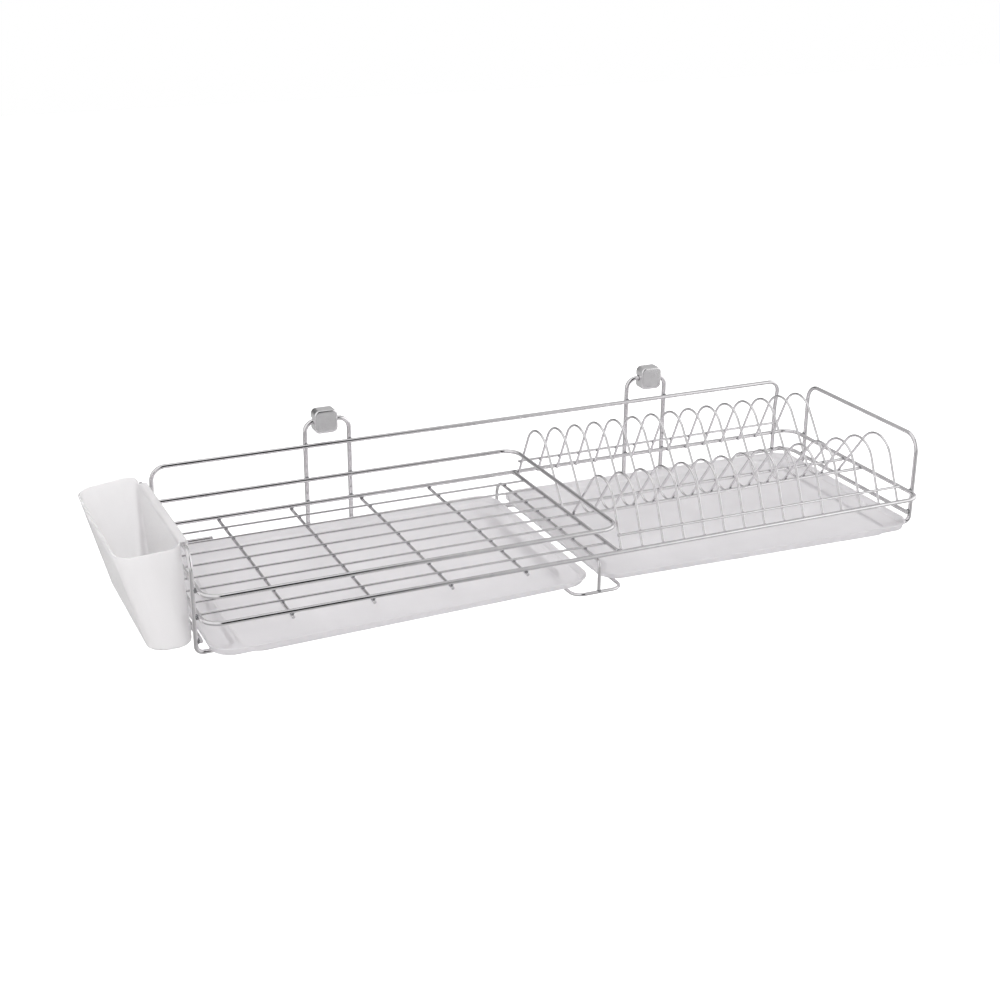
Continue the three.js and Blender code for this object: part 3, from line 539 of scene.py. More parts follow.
def end_hoop(node, side):
    low, high = line_box(node, FRAME_RADIUS)
    leg, bar = (high.x, low.x) if side > 0 else (low.x, high.x)
    corners = [
        Vector((bar, low.y, low.z)),
        Vector((leg, low.y, low.z)),
        Vector((leg, low.y, high.z)),
        Vector((leg, high.y, high.z)),
        Vector((leg, high.y, low.z)),
        Vector((bar, high.y, low.z)),
    ]
    radii = [FOOT_BEND, FOOT_BEND, HOOP_BEND, HOOP_BEND, FOOT_BEND, FOOT_BEND]
    wire(node, closed_line(corners, radii), FRAME_RADIUS, closed=True)


def tray_guard(node, side):
    low, high = line_box(node, FRAME_RADIUS)
    box_low, box_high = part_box(node)
    z = (low.z + high.z) / 2
    outer, arm_end = (high.x, box_low.x) if side > 0 else (low.x, box_high.x)
    corners = [
        Vector((outer, box_low.y, z)),
        Vector((outer, high.y, z)),
        Vector((arm_end, high.y, z)),
    ]
    wire(node, bent_line(corners, [LOOP_BEND]), FRAME_RADIUS)


# Upright wire bent like an upside-down U
def hanger(node):
    low, high = line_box(node, HANGER_RADIUS)
    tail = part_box(node)[0].z
    y = (low.y + high.y) / 2
    corners = [
        Vector((low.x, y, tail)),
        Vector((low.x, y, high.z)),
        Vector((high.x, y, high.z)),
        Vector((high.x, y, tail)),
    ]
    wire(node, bent_line(corners, [HANGER_BEND, HANGER_BEND]), HANGER_RADIUS)


def middle_support():
    low, high = line_box("middle_support", CROSS_RADIUS)
    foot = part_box("middle_support")[0].z
    x = (low.x + high.x) / 2
    corners = [
        Vector((x, high.y, foot)),
        Vector((x, high.y, high.z)),
        Vector((x, low.y, high.z)),
        Vector((x, low.y, foot)),
    ]
    line = bent_line(corners, [SUPPORT_BACK_BEND, SUPPORT_FRONT_BEND])
    wire("middle_support", line, CROSS_RADIUS)


# Thin wire bent like an M, its feet just below the base loop's centre line
def plate_divider(node):
    low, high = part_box(node)
    base_low, base_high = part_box("base_loop")
    base_z = (base_low.z + base_high.z) / 2
    middle_y = (base_low.y + base_high.y) / 2
    x = (low.x + high.x) / 2
    foot_offset = high.y - DIVIDER_RADIUS - middle_y
    places = [
        (-foot_offset, -DIVIDER_FOOT),
        (-foot_offset, 0),
        (-PEAK_OFFSET_FRONT, PEAK_HEIGHT),
        (0, -DIP_DROP),
        (PEAK_OFFSET_BACK, PEAK_HEIGHT),
        (foot_offset, 0),
        (foot_offset, -DIVIDER_FOOT),
    ]
    corners = [Vector((x, middle_y + offset, base_z + height)) for offset, height in places]
    radii = [DIVIDER_FOOT, HUMP_BEND, DIP_BEND, HUMP_BEND, DIVIDER_FOOT]
    wire(node, bent_line(corners, radii), DIVIDER_RADIUS)


def make_wires():
    flat_loop("base_loop", FRAME_RADIUS, LOOP_BEND)
    flat_loop("guard_loop", FRAME_RADIUS, LOOP_BEND)
    flat_loop("tray_cradle", CROSS_RADIUS, CRADLE_BEND)
    straight_wire("divider_rail", FRAME_RADIUS)
    top_rail()
    end_hoop("end_hoop_left", -1)
    end_hoop("end_hoop_right", 1)
    tray_guard("tray_guard_left", -1)
    tray_guard("tray_guard_right", 1)
    hanger("hanger_left")
    hanger("hanger_right")
    middle_support()
    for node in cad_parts:
        if node.startswith("grid_wire"):
            straight_wire(node, GRID_RADIUS)
        if node.startswith("tie_wire"):
            straight_wire(node, DIVIDER_RADIUS)
        if node.startswith(("cross_wire", "plate_rail")):
            straight_wire(node, CROSS_RADIUS)
        if node.startswith("plate_divider"):
            plate_divider(node)


# Points every SAMPLE_STEP along a line
def samples(points):
    made = []
    for start, end in zip(points, points[1:]):
        count = max(1, round((end - start).length / SAMPLE_STEP))
        made += [start.lerp(end, step / count) for step in range(count)]
    return made + [points[-1]]


# Where two wires come closest, at every place where they touch
def contacts(first, second):
    (_, tree, low, high, first_radius) = first
    (dots, _, other_low, other_high, second_radius) = second
    reach = first_radius + second_radius + CONTACT_GAP
    if any(low[k] - reach > other_high[k] or other_low[k] - reach > high[k] for k in range(3)):
        return []
    found = []
    best = None
    for dot in dots:
        near, _, distance = tree.find(dot)
        if distance < reach:
            if best is None or distance < best[2]:
                best = (near, dot, distance)
        elif best:
            found.append(best)
            best = None
    if best:
        found.append(best)
    return found


# A wire's line made ready for the search, with its box
def prepared(points, radius):
    dots = samples(points)
    tree = KDTree(len(dots))
    for index, dot in enumerate(dots):
        tree.insert(dot, index)
    tree.balance()
    low = [min(dot[k] for dot in dots) for k in range(3)]
    high = [max(dot[k] for dot in dots) for k in range(3)]
    return dots, tree, low, high, radius


# Small swell of metal at every weld, all in one piece
def weld_beads():
    ready = [prepared(points, radius) for points, radius in wire_lines]
    made = bmesh.new()
    for index, first in enumerate(ready):
        for second in ready[index + 1:]:
            first_radius, second_radius = first[-1], second[-1]
            thin = min(first_radius, second_radius)
            spread = thin * WELD_SPREAD
            shape = Matrix.Diagonal((spread, spread, thin * WELD_HEIGHT, 1))
            for near, dot, distance in contacts(first, second):
                across = (dot - near).normalized()
                gap = distance - first_radius - second_radius
                middle = near + across * (first_radius + gap / 2)
                turn = across.to_track_quat("Z", "X").to_matrix().to_4x4()
                placed = Matrix.Translation(middle) @ turn @ shape
                bmesh.ops.create_icosphere(made, subdivisions=2, radius=1, matrix=placed)
    mesh = bpy.data.meshes.new("weld_beads")
    made.to_mesh(mesh)
    made.free()
    mesh.polygons.foreach_set("use_smooth", [True] * len(mesh.polygons))
    mesh.materials.append(WELD)
    piece = bpy.data.objects.new("weld_beads", mesh)
    bpy.context.scene.collection.objects.link(piece)
    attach(piece, "hung_frame")


# Rounded rectangle seen from above, each point lifted to height_at(x, y)
def rounded_ring(left, right, front, back, wanted_radius, height_at):
    radius = max(min(wanted_radius, (right - left) / 2, (back - front) / 2), SMALLEST_CORNER)
    centres = [
        (right - radius, back - radius),
        (left + radius, back - radius),
        (left + radius, front + radius),
        (right - radius, front + radius),
    ]
    ring = []
    for corner, (x, y) in enumerate(centres):
        for step in range(CORNER_STEPS + 1):
            angle = (corner + step / CORNER_STEPS) * math.pi / 2
            px = x + radius * math.cos(angle)
            py = y + radius * math.sin(angle)
            ring.append(Vector((px, py, height_at(px, py))))
    return ring


# Quarter round as (outwards, upwards) shares, from level at its bottom to upright at its side
def quarter(steps=QUARTER_STEPS):
    angles = [math.pi / 2 * step / steps for step in range(steps + 1)]
    return [(math.sin(angle), 1 - math.cos(angle)) for angle in angles]


# Piece between rows of rings, closed by a flat face at either end
def skin(name, rings, material, body):
    vertices = [v for ring in rings for v in ring]
    faces = ring_faces(len(rings), len(rings[0]), closed=False)
    return finish_piece(name, vertices, faces, material, body, END_FACES)


# Levels of a tray's shelf, which rests on its hoop's bar, and the basin's end beside that bar
def tray_levels(node, side):
    low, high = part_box(node)
    outer_x, inner_x = (high.x, low.x) if side > 0 else (low.x, high.x)
    hoop_low, hoop_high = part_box("end_hoop_right" if side > 0 else "end_hoop_left")
    basin_end = hoop_low.x - TRAY_STEP_GAP if side > 0 else hoop_high.x + TRAY_STEP_GAP

    def outwards(x):
        return (x - inner_x) / (outer_x - inner_x)

    def shelf(x, y=0):
        return high.z - TRAY_DEPTH_INNER - TRAY_FALL * outwards(x)

    def rim(x, y=0):
        return shelf(x) + TRAY_DEPTH_INNER + (TRAY_DEPTH_OUTER - TRAY_DEPTH_INNER) * outwards(x)

    return shelf, rim, abs(outer_x - basin_end)


# Shallow tray: a basin with a rounded foot, a step up to the shelf, drawn walls and a rolled rim
def drip_tray(node, side, body):
    low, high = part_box(node)
    shelf, rim, shelf_length = tray_levels(node, side)
    foot = TRAY_RIM_WIDTH + TRAY_DRAFT
    half_rim = TRAY_RIM_THICKNESS / 2
    floor_inset = TRAY_EDGE + TRAY_FLOOR_RING

    def ring(inset, height_at, outer_inset=None):
        outer = inset if outer_inset is None else outer_inset
        left, right = (inset, outer) if side > 0 else (outer, inset)
        return rounded_ring(
            low.x + left, high.x - right, low.y + inset, high.y - inset,
            TRAY_CORNER - inset, height_at,
        )

    def lifted(base, rise):
        return lambda x, y: base(x, y) + rise

    def basin(inset, rise):
        return ring(foot + TRAY_LEDGE + inset, lifted(shelf, rise), shelf_length + inset)

    # Outside of the basin, then the shelf's underside
    rings = [basin(floor_inset, -TRAY_STEP)]
    for out, up in quarter():
        rings.append(basin(TRAY_EDGE * (1 - out), (up - 1) * TRAY_STEP))
    for share, end in zip(LEDGE_BELOW, (shelf_length - TRAY_SOFT, foot + TRAY_SOFT)):
        rings.append(ring(foot + TRAY_LEDGE * share, shelf, end))
    rings.append(ring(foot, shelf))

    # Up the wall and over the rim
    out, up = TRAY_FOOT_RING
    rings.append(ring(foot - out, lifted(shelf, up)))
    inwards, down = TRAY_TOP_RING
    rings.append(ring(TRAY_RIM_WIDTH + inwards, lifted(rim, -TRAY_RIM_THICKNESS - down)))
    rings.append(ring(TRAY_RIM_WIDTH, lifted(rim, -TRAY_RIM_THICKNESS)))
    for step in range(HALF_ROUND_STEPS + 1):
        angle = math.pi * step / HALF_ROUND_STEPS
        inset = half_rim * (1 - math.sin(angle))
        rings.append(ring(inset, lifted(rim, -half_rim - half_rim * math.cos(angle))))
    top = half_rim + (TRAY_RIM_WIDTH + TRAY_WALL - half_rim) * TRAY_RIM_TOP
    for out, up in quarter(steps=4):
        rings.append(ring(top + TRAY_SOFT * out, lifted(rim, -TRAY_SOFT * up)))

    # Down to the shelf's upper side, then inside the basin
    within = foot + TRAY_WALL
    half_ledge = TRAY_LEDGE / 2
    for out, up in reversed(quarter(steps=2)):
        level = lifted(shelf, TRAY_WALL + half_ledge * up)
        rings.append(ring(within + half_ledge * (1 - out), level))
    basin_end = shelf_length + TRAY_WALL
    ends = (within + TRAY_SOFT, basin_end - TRAY_SOFT, basin_end - TRAY_LEDGE)
    for share, end in zip(LEDGE_ABOVE, ends):
        rings.append(ring(within + TRAY_LEDGE * share, lifted(shelf, TRAY_WALL), end))
    for out, up in reversed(quarter()):
        drop = max((1 - up) * TRAY_STEP, TRAY_LEDGE)
        rings.append(basin(TRAY_WALL + TRAY_EDGE * (1 - out), TRAY_WALL - drop))
    rings.append(basin(TRAY_WALL + floor_inset, TRAY_WALL - TRAY_STEP))
    tray = skin(node + "_fine", rings, TRAY_PLASTIC, body)
    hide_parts(node)


# Rib under the basin's floor that stands on the cradle
def tray_rib(node, side, body):
    low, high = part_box(node)
    cradle_low, cradle_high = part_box("tray_cradle")
    x = cradle_high.x - CROSS_RADIUS if side > 0 else cradle_low.x + CROSS_RADIUS
    foot = cradle_high.z + WELD_GAP
    shelf, _, _ = tray_levels(node, side)
    top = shelf(x) - TRAY_STEP + TRAY_WALL / 2
    half = TRAY_RIB_WIDTH / 2
    soft = TRAY_RIB_SOFT
    rings = []
    for inset, z in ((soft, foot), (soft / 3, foot + soft / 3), (0, foot + soft), (0, top)):
        rings.append(rounded_ring(
            x - half + inset,
            x + half - inset,
            low.y + TRAY_RIB_END_GAP + inset,
            high.y - TRAY_RIB_END_GAP - inset,
            (half - inset) * TRAY_RIB_CORNER,
            lambda x, y, z=z: z,
        ))
    skin(node + "_rib", rings, TRAY_PLASTIC, body)


# Closed mesh with every face pointing outwards, not yet finished
def rough_solid(name, vertices, faces):
    made = bmesh.new()
    corners = [made.verts.new(v) for v in vertices]
    for face in faces:
        made.faces.new([corners[index] for index in face])
    bmesh.ops.recalc_face_normals(made, faces=made.faces)
    mesh = bpy.data.meshes.new(name)
    made.to_mesh(mesh)
    made.free()
    piece = bpy.data.objects.new(name, mesh)
    bpy.context.scene.collection.objects.link(piece)
    return piece


# Joins the tool to the piece or cuts it out of it
def combine(piece, tool, operation):
    modifier = piece.modifiers.new("combine", "BOOLEAN")
    modifier.operation = operation
    modifier.solver = "EXACT"
    modifier.object = tool
    evaluated = piece.evaluated_get(bpy.context.evaluated_depsgraph_get())
    mesh = bpy.data.meshes.new_from_object(evaluated)
    piece.modifiers.clear()
    piece.data = mesh
    bpy.data.objects.remove(tool)


# Makes a rough solid a finished piece in place of its node
def finish_solid(piece, node, material, body):
    mesh = piece.data
    mesh.materials.clear()
    mesh.materials.append(material)
    mesh.polygons.foreach_set("use_smooth", [True] * len(mesh.polygons))
    mesh.polygons.foreach_set("material_index", [0] * len(mesh.polygons))
    mesh.set_sharp_from_angle(angle=SHARP_ANGLE)
    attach(piece, body)
    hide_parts(node)


def ringed_solid(name, rings, closed=False):
    faces = ring_faces(len(rings), len(rings[0]), closed)
    return rough_solid(name, [v for ring in rings for v in ring], faces)


def prism(name, outline, sweep):
    return ringed_solid(name, [outline, [point + sweep for point in outline]])


# Rings that lead from one ring to another
def between(first, last, steps):
    return [
        [a.lerp(b, step / steps) for a, b in zip(first, last)]
        for step in range(1, steps)
    ]


# Strip on both sides of a line in x and z, with its far end rounded
def strip_outline(line, reach, y):
    left = []
    right = []
    for index, point in enumerate(line):
        before = line[max(index - 1, 0)]
        after = line[min(index + 1, len(line) - 1)]
        along = (after - before).normalized()
        across = Vector((-along.z, 0, along.x)) * reach
        left.append(point + across)
        right.append(point - across)
    tip = line[-1]
    spoke = left[-1] - tip
    angles = [math.pi * step / HALF_ROUND_STEPS for step in range(1, HALF_ROUND_STEPS)]
    turn = [Matrix.Rotation(angle, 3, "Y") @ spoke + tip for angle in angles]
    outline = left + turn + right[::-1]
    return [Vector((point.x, y, point.z)) for point in outline]


# Strip that goes over the hoop and down behind it
def holder_hook(inner, lip_outer, under, middle_y, half_length):
    reach = HOLDER_WALL / 2
    root_x = inner - reach
    lip_x = lip_outer - reach
    corners = [
        Vector((root_x, 0, under - HOLDER_WALL)),
        Vector((root_x, 0, under + reach)),
        Vector((lip_x, 0, under + reach)),
        Vector((lip_x, 0, under - HOOK_LIP + reach)),
    ]
    line = bent_line(corners, [HOOK_BEND, HOOK_BEND])
    soft = reach / 2
    stations = [
        (-half_length, soft),
        (-half_length + soft, reach),
        (half_length - soft, reach),
        (half_length, soft),
    ]
    rings = [strip_outline(line, width, middle_y + offset) for offset, width in stations]
    return ringed_solid("hook", rings)


def drain_slot(x, y, low_z):
    radius = DRAIN_SLOT_WIDTH / 2
    reach = DRAIN_SLOT_LENGTH / 2 - radius
    outline = []
    for side in (1, -1):
        for step in range(SLOT_END_STEPS + 1):
            angle = side * math.pi * (step / SLOT_END_STEPS - 0.5)
            outline.append(Vector((
                x + side * (reach + radius * math.cos(angle)),
                y + side * radius * math.sin(side * angle),
                low_z - CUT_OVERRUN,
            )))
    return prism("slot", outline, Vector((0, 0, HOLDER_WALL + 2 * CUT_OVERRUN)))


# Tapered open box that hangs over the left hoop, with a rolled rim and slots in its floor
def cutlery_holder():
    low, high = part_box("cutlery_holder")
    hoop_low, hoop_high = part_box("end_hoop_left")
    guard_low, guard_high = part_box("tray_guard_left")
    base_low, base_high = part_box("base_loop")
    base_z = (base_low.z + base_high.z) / 2
    middle_y = (low.y + high.y) / 2
    inner = hoop_low.x - HOLDER_GAP
    rim_z = base_z + HOLDER_RIM_HIGH
    guard_z = (guard_low.z + guard_high.z) / 2
    lean = (guard_low.x - WELD_GAP - inner) / (rim_z - guard_z)
    foot_inner = inner + lean * (rim_z - low.z - HOLDER_EDGE)
    half_hook = (high.y - low.y) / 2 - HOOK_INSET

    def rim_at(x, y):
        inwards = 1 - (inner - x) / (inner - low.x)
        climb = min(max((y - middle_y - half_hook) / HOLDER_RISE_LENGTH, 0), 1)
        back_rise = HOLDER_BACK_RISE * climb * climb * (3 - 2 * climb)
        slope = HOLDER_RIM_HIGH - HOLDER_RIM_LOW + back_rise
        return base_z + HOLDER_RIM_LOW + slope * inwards

    def rim_ring(inset, drop):
        return rounded_ring(
            low.x + inset, inner - inset, low.y + inset, high.y - inset,
            HOLDER_CORNER - inset, lambda x, y: rim_at(x, y) - drop,
        )

    def foot_ring(inset, rise):
        left = foot_inner - HOLDER_FOOT_WIDTH
        front = low.y + HOLDER_FOOT_DRAFT
        back = high.y - HOLDER_FOOT_DRAFT
        return rounded_ring(
            left + inset, foot_inner - inset, front + inset, back - inset,
            HOLDER_CORNER - inset, lambda x, y: low.z + rise,
        )

    half_wall = HOLDER_WALL / 2
    bowl = HOLDER_EDGE - HOLDER_WALL
    flat_inset = HOLDER_EDGE * 2
    rings = [foot_ring(flat_inset, 0)]
    rings += [foot_ring(HOLDER_EDGE * (1 - out), HOLDER_EDGE * up) for out, up in quarter()]
    rings += between(rings[-1], rim_ring(0, half_wall), WALL_STEPS)
    for step in range(HALF_ROUND_STEPS + 1):
        angle = math.pi * step / HALF_ROUND_STEPS
        inset = half_wall * (1 - math.cos(angle))
        rings.append(rim_ring(inset, half_wall * (1 - math.sin(angle))))
    rings += between(rings[-1], foot_ring(HOLDER_WALL, HOLDER_EDGE), WALL_STEPS)
    for out, up in reversed(quarter()):
        rings.append(foot_ring(HOLDER_WALL + bowl * (1 - out), HOLDER_WALL + bowl * up))
    rings.append(foot_ring(flat_inset, HOLDER_WALL))
    piece = ringed_solid("cutlery_holder_fine", rings)
    under = hoop_high.z + WELD_GAP
    combine(piece, holder_hook(inner, high.x, under, middle_y, half_hook), "UNION")
    slot_x = foot_inner - HOLDER_FOOT_WIDTH / 2
    for slot in range(DRAIN_SLOTS):
        slot_y = middle_y + (slot - (DRAIN_SLOTS - 1) / 2) * DRAIN_PITCH
        combine(piece, drain_slot(slot_x, slot_y, low.z), "DIFFERENCE")
    finish_solid(piece, "cutlery_holder", HOLDER_PLASTIC, "cutlery_holder_body")


# Square cap with rounded edges, open at the back and notched for the hanger's wire
def cover_cap(node, hanger_node, body):
    low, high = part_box(node)
    wire_low, wire_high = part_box(hanger_node)
    wire_y = (wire_low.y + wire_high.y) / 2
    wire_z = wire_high.z - HANGER_RADIUS

    def ring(inset, y):
        flat = rounded_ring(
            low.x + inset, high.x - inset, low.z + inset, high.z - inset,
            CAP_CORNER - inset, lambda px, pz: 0,
        )
        return [Vector((point.x, y, point.y)) for point in flat]

    soft = CAP_EDGE - CAP_WALL
    flat_inset = CAP_EDGE * 2
    rings = [ring(flat_inset, low.y)]
    rings += [ring(CAP_EDGE * (1 - out), low.y + CAP_EDGE * up) for out, up in quarter(steps=8)]
    rings += [ring(0, high.y - CAP_LIP), ring(CAP_LIP, high.y)]
    rings += [ring(CAP_WALL - CAP_LIP, high.y), ring(CAP_WALL, high.y - CAP_LIP)]
    for out, up in reversed(quarter(steps=4)):
        rings.append(ring(CAP_WALL + soft * (1 - out), low.y + CAP_WALL + soft * up))
    rings.append(ring(flat_inset, low.y + CAP_WALL))
    piece = ringed_solid(node + "_fine", rings)
    radius = HANGER_RADIUS + NOTCH_CLEARANCE
    outline = []
    for step in range(SLOT_END_STEPS + 1):
        angle = math.pi * (step / SLOT_END_STEPS + 0.5)
        y = wire_y + radius * math.cos(angle)
        outline.append(Vector((low.x - CUT_OVERRUN, y, wire_z + radius * math.sin(angle))))
    for height in (-radius, radius):
        outline.append(Vector((low.x - CUT_OVERRUN, high.y + CUT_OVERRUN, wire_z + height)))
    notch = prism("notch", outline, Vector((high.x - low.x + 2 * CUT_OVERRUN, 0, 0)))
    combine(piece, notch, "DIFFERENCE")
    finish_solid(piece, node, CAP, body)


# Ring about a line along Y, with a radius for each of its sides
def wheel(x, y, z, radii):
    ring = []
    for side, radius in enumerate(radii):
        turn = 2 * math.pi * side / ROUND_SIDES
        ring.append(Vector((x + radius * math.cos(turn), y, z + radius * math.sin(turn))))
    return ring


def circle(x, y, z, radius):
    return wheel(x, y, z, [radius] * ROUND_SIDES)


def block(name, low, high):
    outline = [
        Vector((low[0], low[1], low[2])),
        Vector((high[0], low[1], low[2])),
        Vector((high[0], high[1], low[2])),
        Vector((low[0], high[1], low[2])),
    ]
    return prism(name, outline, Vector((0, 0, high[2] - low[2])))


# Ridged sleeve, split crosswise over its rear two thirds
def wall_plug(node):
    low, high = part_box(node)
    x = (low.x + high.x) / 2
    z = (low.z + high.z) / 2
    outer = (high.x - low.x) / 2
    groove = outer - PLUG_GROOVE
    collar_end = low.y + PLUG_RIDGE
    rings = [
        circle(x, low.y, z, PLUG_BORE),
        circle(x, low.y, z, outer),
        circle(x, collar_end, z, outer),
    ]
    ridges = int((high.y - low.y - 2 * PLUG_RIDGE) / PLUG_RIDGE)
    for ridge in range(ridges):
        start = collar_end + ridge * PLUG_RIDGE
        rings += [circle(x, start + PLUG_RIDGE * share, z, groove) for share in PLUG_GROOVE_SPAN]
        rings.append(circle(x, start + PLUG_RIDGE, z, outer))
    rings += [circle(x, high.y, z, groove), circle(x, high.y, z, PLUG_BORE)]
    piece = ringed_solid(node + "_fine", rings, closed=True)
    split = low.y + (high.y - low.y) / 3
    back = high.y + CUT_OVERRUN
    reach = outer + CUT_OVERRUN
    half = PLUG_SLIT / 2
    for wide, tall in ((reach, half), (half, reach)):
        slit = block("slit", (x - wide, split, z - tall), (x + wide, back, z + tall))
        combine(piece, slit, "DIFFERENCE")
    finish_solid(piece, node, PLUG, "hung_frame")


# Countersunk screw with a cross recess and a real thread
def wall_screw(node):
    low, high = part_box(node)
    x = (low.x + high.x) / 2
    z = (low.z + high.z) / 2
    head = (high.x - low.x) / 2
    neck = low.y + SCREW_HEAD_DEPTH
    rings = [
        circle(x, low.y, z, head - SCREW_EDGE),
        circle(x, low.y + SCREW_EDGE, z, head),
        circle(x, neck, z, SCREW_CORE),
    ]
    count = round((high.y - neck) / THREAD_PITCH * THREAD_STEPS)
    for step in range(1, count):
        y = neck + (high.y - neck) * step / count
        taper = min(1, (high.y - y) / SCREW_TIP)
        radii = []
        for side in range(ROUND_SIDES):
            share = (step / THREAD_STEPS + side / ROUND_SIDES) % 1
            crest = max(0, 1 - abs(share - 0.5) * THREAD_SLOPE)
            radii.append((SCREW_CORE + (SCREW_THREAD - SCREW_CORE) * crest) * taper)
        rings.append(wheel(x, y, z, radii))
    piece = ringed_solid(node + "_fine", rings)
    front = low.y - CUT_OVERRUN
    floor = low.y + RECESS_DEPTH
    long = RECESS_LENGTH / 2
    short = RECESS_WIDTH / 2
    for wide, tall in ((long, short), (short, long)):
        recess = block("recess", (x - wide, front, z - tall), (x + wide, floor, z + tall))
        combine(piece, recess, "DIFFERENCE")
    finish_solid(piece, node, ZINC, "hung_frame")


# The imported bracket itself, with its own material and slightly rounded edges
def dress_bracket(name):
    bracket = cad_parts[name]
    bracket.data.materials.clear()
    bracket.data.materials.append(ZINC)
    bevel = bracket.modifiers.new("soft_edges", "BEVEL")
    bevel.width = BRACKET_EDGE
    bevel.segments = BRACKET_EDGE_STEPS
    bevel.limit_method = "ANGLE"
    bevel.angle_limit = BRACKET_EDGE_ANGLE


def set_camera():
    data = bpy.data.cameras.new("camera")
    data.sensor_width = SENSOR
    data.lens = FOCAL_PIXELS * SENSOR / IMAGE_PIXELS
    data.clip_end = CLIP_END
    camera = bpy.data.objects.new("camera", data)
    bpy.context.scene.collection.objects.link(camera)
    camera.location = CAMERA_PLACE
    ahead = Vector((
        math.sin(CAMERA_TURN) * math.cos(CAMERA_TILT),
        math.cos(CAMERA_TURN) * math.cos(CAMERA_TILT),
        -math.sin(CAMERA_TILT),
    ))
    turn = ahead.to_track_quat("-Z", "Y").to_matrix()
    camera.rotation_euler = (turn @ Matrix.Rotation(CAMERA_ROLL, 3, "Z")).to_euler()
    bpy.context.scene.camera = camera


def area_light(name, place, size, power):
    data = bpy.data.lights.new(name, "AREA")
    data.shape = "RECTANGLE"
    data.size, data.size_y = size
    data.energy = power
    light = bpy.data.objects.new(name, data)
    bpy.context.scene.collection.objects.link(light)
    light.location = place
    light.rotation_euler = (LAMP_TARGET - place).to_track_quat("-Z", "Y").to_euler()
    light.visible_glossy = False


# The world's nodes, led by the direction and the kind of ray
class Studio(Nodes):
    def __init__(self):
        world = bpy.data.worlds.new("studio")
        world.use_nodes = True
        super().__init__(world.node_tree)
        self.tree.nodes.clear()
        split = self.node("ShaderNodeSeparateXYZ")
        place = self.node("ShaderNodeTexCoord")
        self.link(place.outputs["Generated"], split.inputs["Vector"])
        self.direction = split.outputs
        self.path = self.node("ShaderNodeLightPath").outputs
        bpy.context.scene.world = world

    # Greys by the direction's height
    def greys(self, stops):
        made = self.node("ShaderNodeValToRGB")
        ramp = made.color_ramp
        for height, _ in stops[1:-1]:
            ramp.elements.new((height + 1) / 2)
        for element, (height, grey) in zip(ramp.elements, stops):
            element.position = (height + 1) / 2
            element.color = (grey, grey, grey, 1)
        self.link(self.mapped(self.direction["Z"], -1, 1), made.inputs["Fac"])
        return made.outputs["Color"]

    # One colour giving way to another as the direction turns along an axis
    def turning(self, axis, span, first, second):
        share = self.mapped(self.direction[axis], *span, interpolation_type="SMOOTHSTEP")
        made = self.node("ShaderNodeMix", data_type="RGBA")
        self.link(share, made.inputs["Factor"])
        colours = [socket for socket in made.inputs if socket.type == "RGBA"]
        self.link(first, colours[0])
        self.link(second, colours[1])
        return [socket for socket in made.outputs if socket.type == "RGBA"][0]

    def background(self, colour=None):
        made = self.node("ShaderNodeBackground")
        made.inputs["Color"].default_value = (1, 1, 1, 1)
        if colour:
            self.link(colour, made.inputs["Color"])
        return made.outputs["Background"]

    def choose(self, share, first, second):
        made = self.node("ShaderNodeMixShader")
        self.link(share, made.inputs["Fac"])
        self.link(first, made.inputs[1])
        self.link(second, made.inputs[2])
        return made.outputs["Shader"]


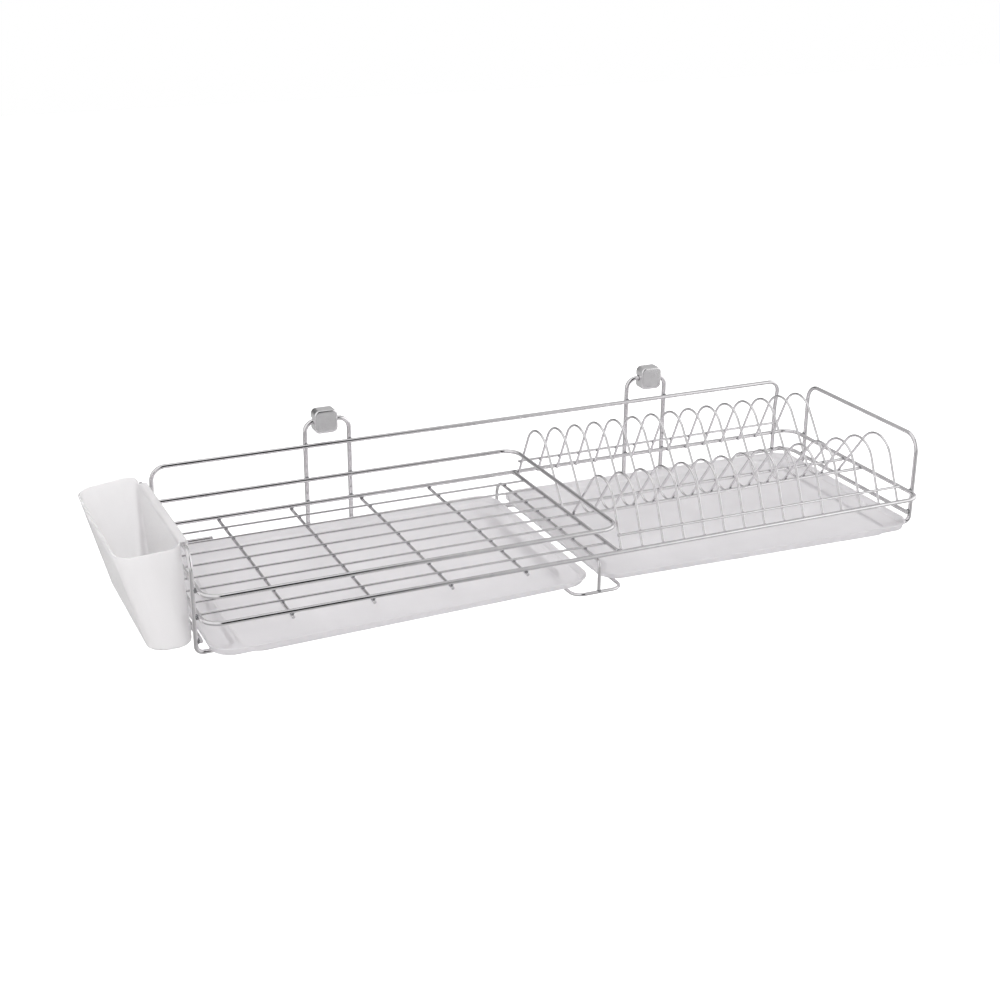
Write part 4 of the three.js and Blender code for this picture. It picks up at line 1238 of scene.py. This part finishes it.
# Plain white for the camera and through the plastic, plain pale light on every surface, and for
# the chrome a studio of greys, pale on the right and dark in front on the left
def set_world():
    studio = Studio()
    front = studio.greys(SIDE_GREYS)
    front = studio.turning("X", LEFT_START, front, studio.greys(LEFT_GREYS))
    front = studio.turning("X", MIDDLE_START, front, studio.greys(MIDDLE_GREYS))
    front = studio.turning("X", RIGHT_START, front, studio.greys(RIGHT_GREYS))
    light = studio.greys(BACK_LIGHT_GREYS)
    dark = studio.turning("Y", BACK_DARK_START, light, studio.greys(BACK_DARK_GREYS))
    back = studio.turning("X", BACK_DARK_END, dark, light)
    around = studio.turning("Y", BACK_START, front, back)
    plain = studio.background(studio.greys(PLAIN_GREYS))
    shown = studio.choose(studio.path["Is Glossy Ray"], plain, studio.background(around))
    clear = studio.node("ShaderNodeMath", operation="MAXIMUM")
    studio.link(studio.path["Is Camera Ray"], clear.inputs[0])
    studio.link(studio.path["Is Transmission Ray"], clear.inputs[1])
    surface = studio.choose(clear.outputs["Value"], shown, studio.background())
    output = studio.node("ShaderNodeOutputWorld")
    studio.link(surface, output.inputs["Surface"])


# Pale floor that glows a little for the camera alone
def set_floor():
    mesh = bpy.data.meshes.new("floor")
    half = FLOOR_SIZE / 2
    places = ((-half, -half), (half, -half), (half, half), (-half, half))
    mesh.from_pydata([(x, y, FLOOR_Z) for x, y in places], [], [(0, 1, 2, 3)])
    floor = bpy.data.objects.new("floor", mesh)
    bpy.context.scene.collection.objects.link(floor)
    material = bpy.data.materials.new("floor")
    material.use_nodes = True
    nodes = Nodes(material.node_tree)
    shader = nodes.tree.nodes["Principled BSDF"]
    shader.inputs["Base Color"].default_value = (FLOOR_GREY, FLOOR_GREY, FLOOR_GREY, 1)
    shader.inputs["Roughness"].default_value = FLOOR_ROUGHNESS
    shader.inputs["Emission Color"].default_value = (1, 1, 1, 1)
    path = nodes.node("ShaderNodeLightPath")
    glow = nodes.node("ShaderNodeMath", operation="MULTIPLY")
    glow.inputs[1].default_value = FLOOR_GLOW
    nodes.link(path.outputs["Is Camera Ray"], glow.inputs[0])
    nodes.link(glow.outputs["Value"], shader.inputs["Emission Strength"])
    mesh.materials.append(material)
    floor.visible_glossy = False


make_wires()
weld_beads()
drip_tray("drip_tray_left", -1, "left_tray")
drip_tray("drip_tray_right", 1, "right_tray")
tray_rib("drip_tray_left", -1, "left_tray")
tray_rib("drip_tray_right", 1, "right_tray")
cutlery_holder()
cover_cap("cover_cap_left", "hanger_left", "left_cap")
cover_cap("cover_cap_right", "hanger_right", "right_cap")
for side in ("left", "right"):
    dress_bracket("wall_bracket_" + side)
    wall_screw("wall_screw_" + side)
    wall_plug("wall_plug_" + side)
set_camera()
set_world()
set_floor()
area_light("key", KEY_PLACE, KEY_SIZE, KEY_POWER)
area_light("fill", FILL_PLACE, FILL_SIZE, FILL_POWER)

bpy.context.scene.view_settings.view_transform = "Standard"
bpy.context.view_layer.update()
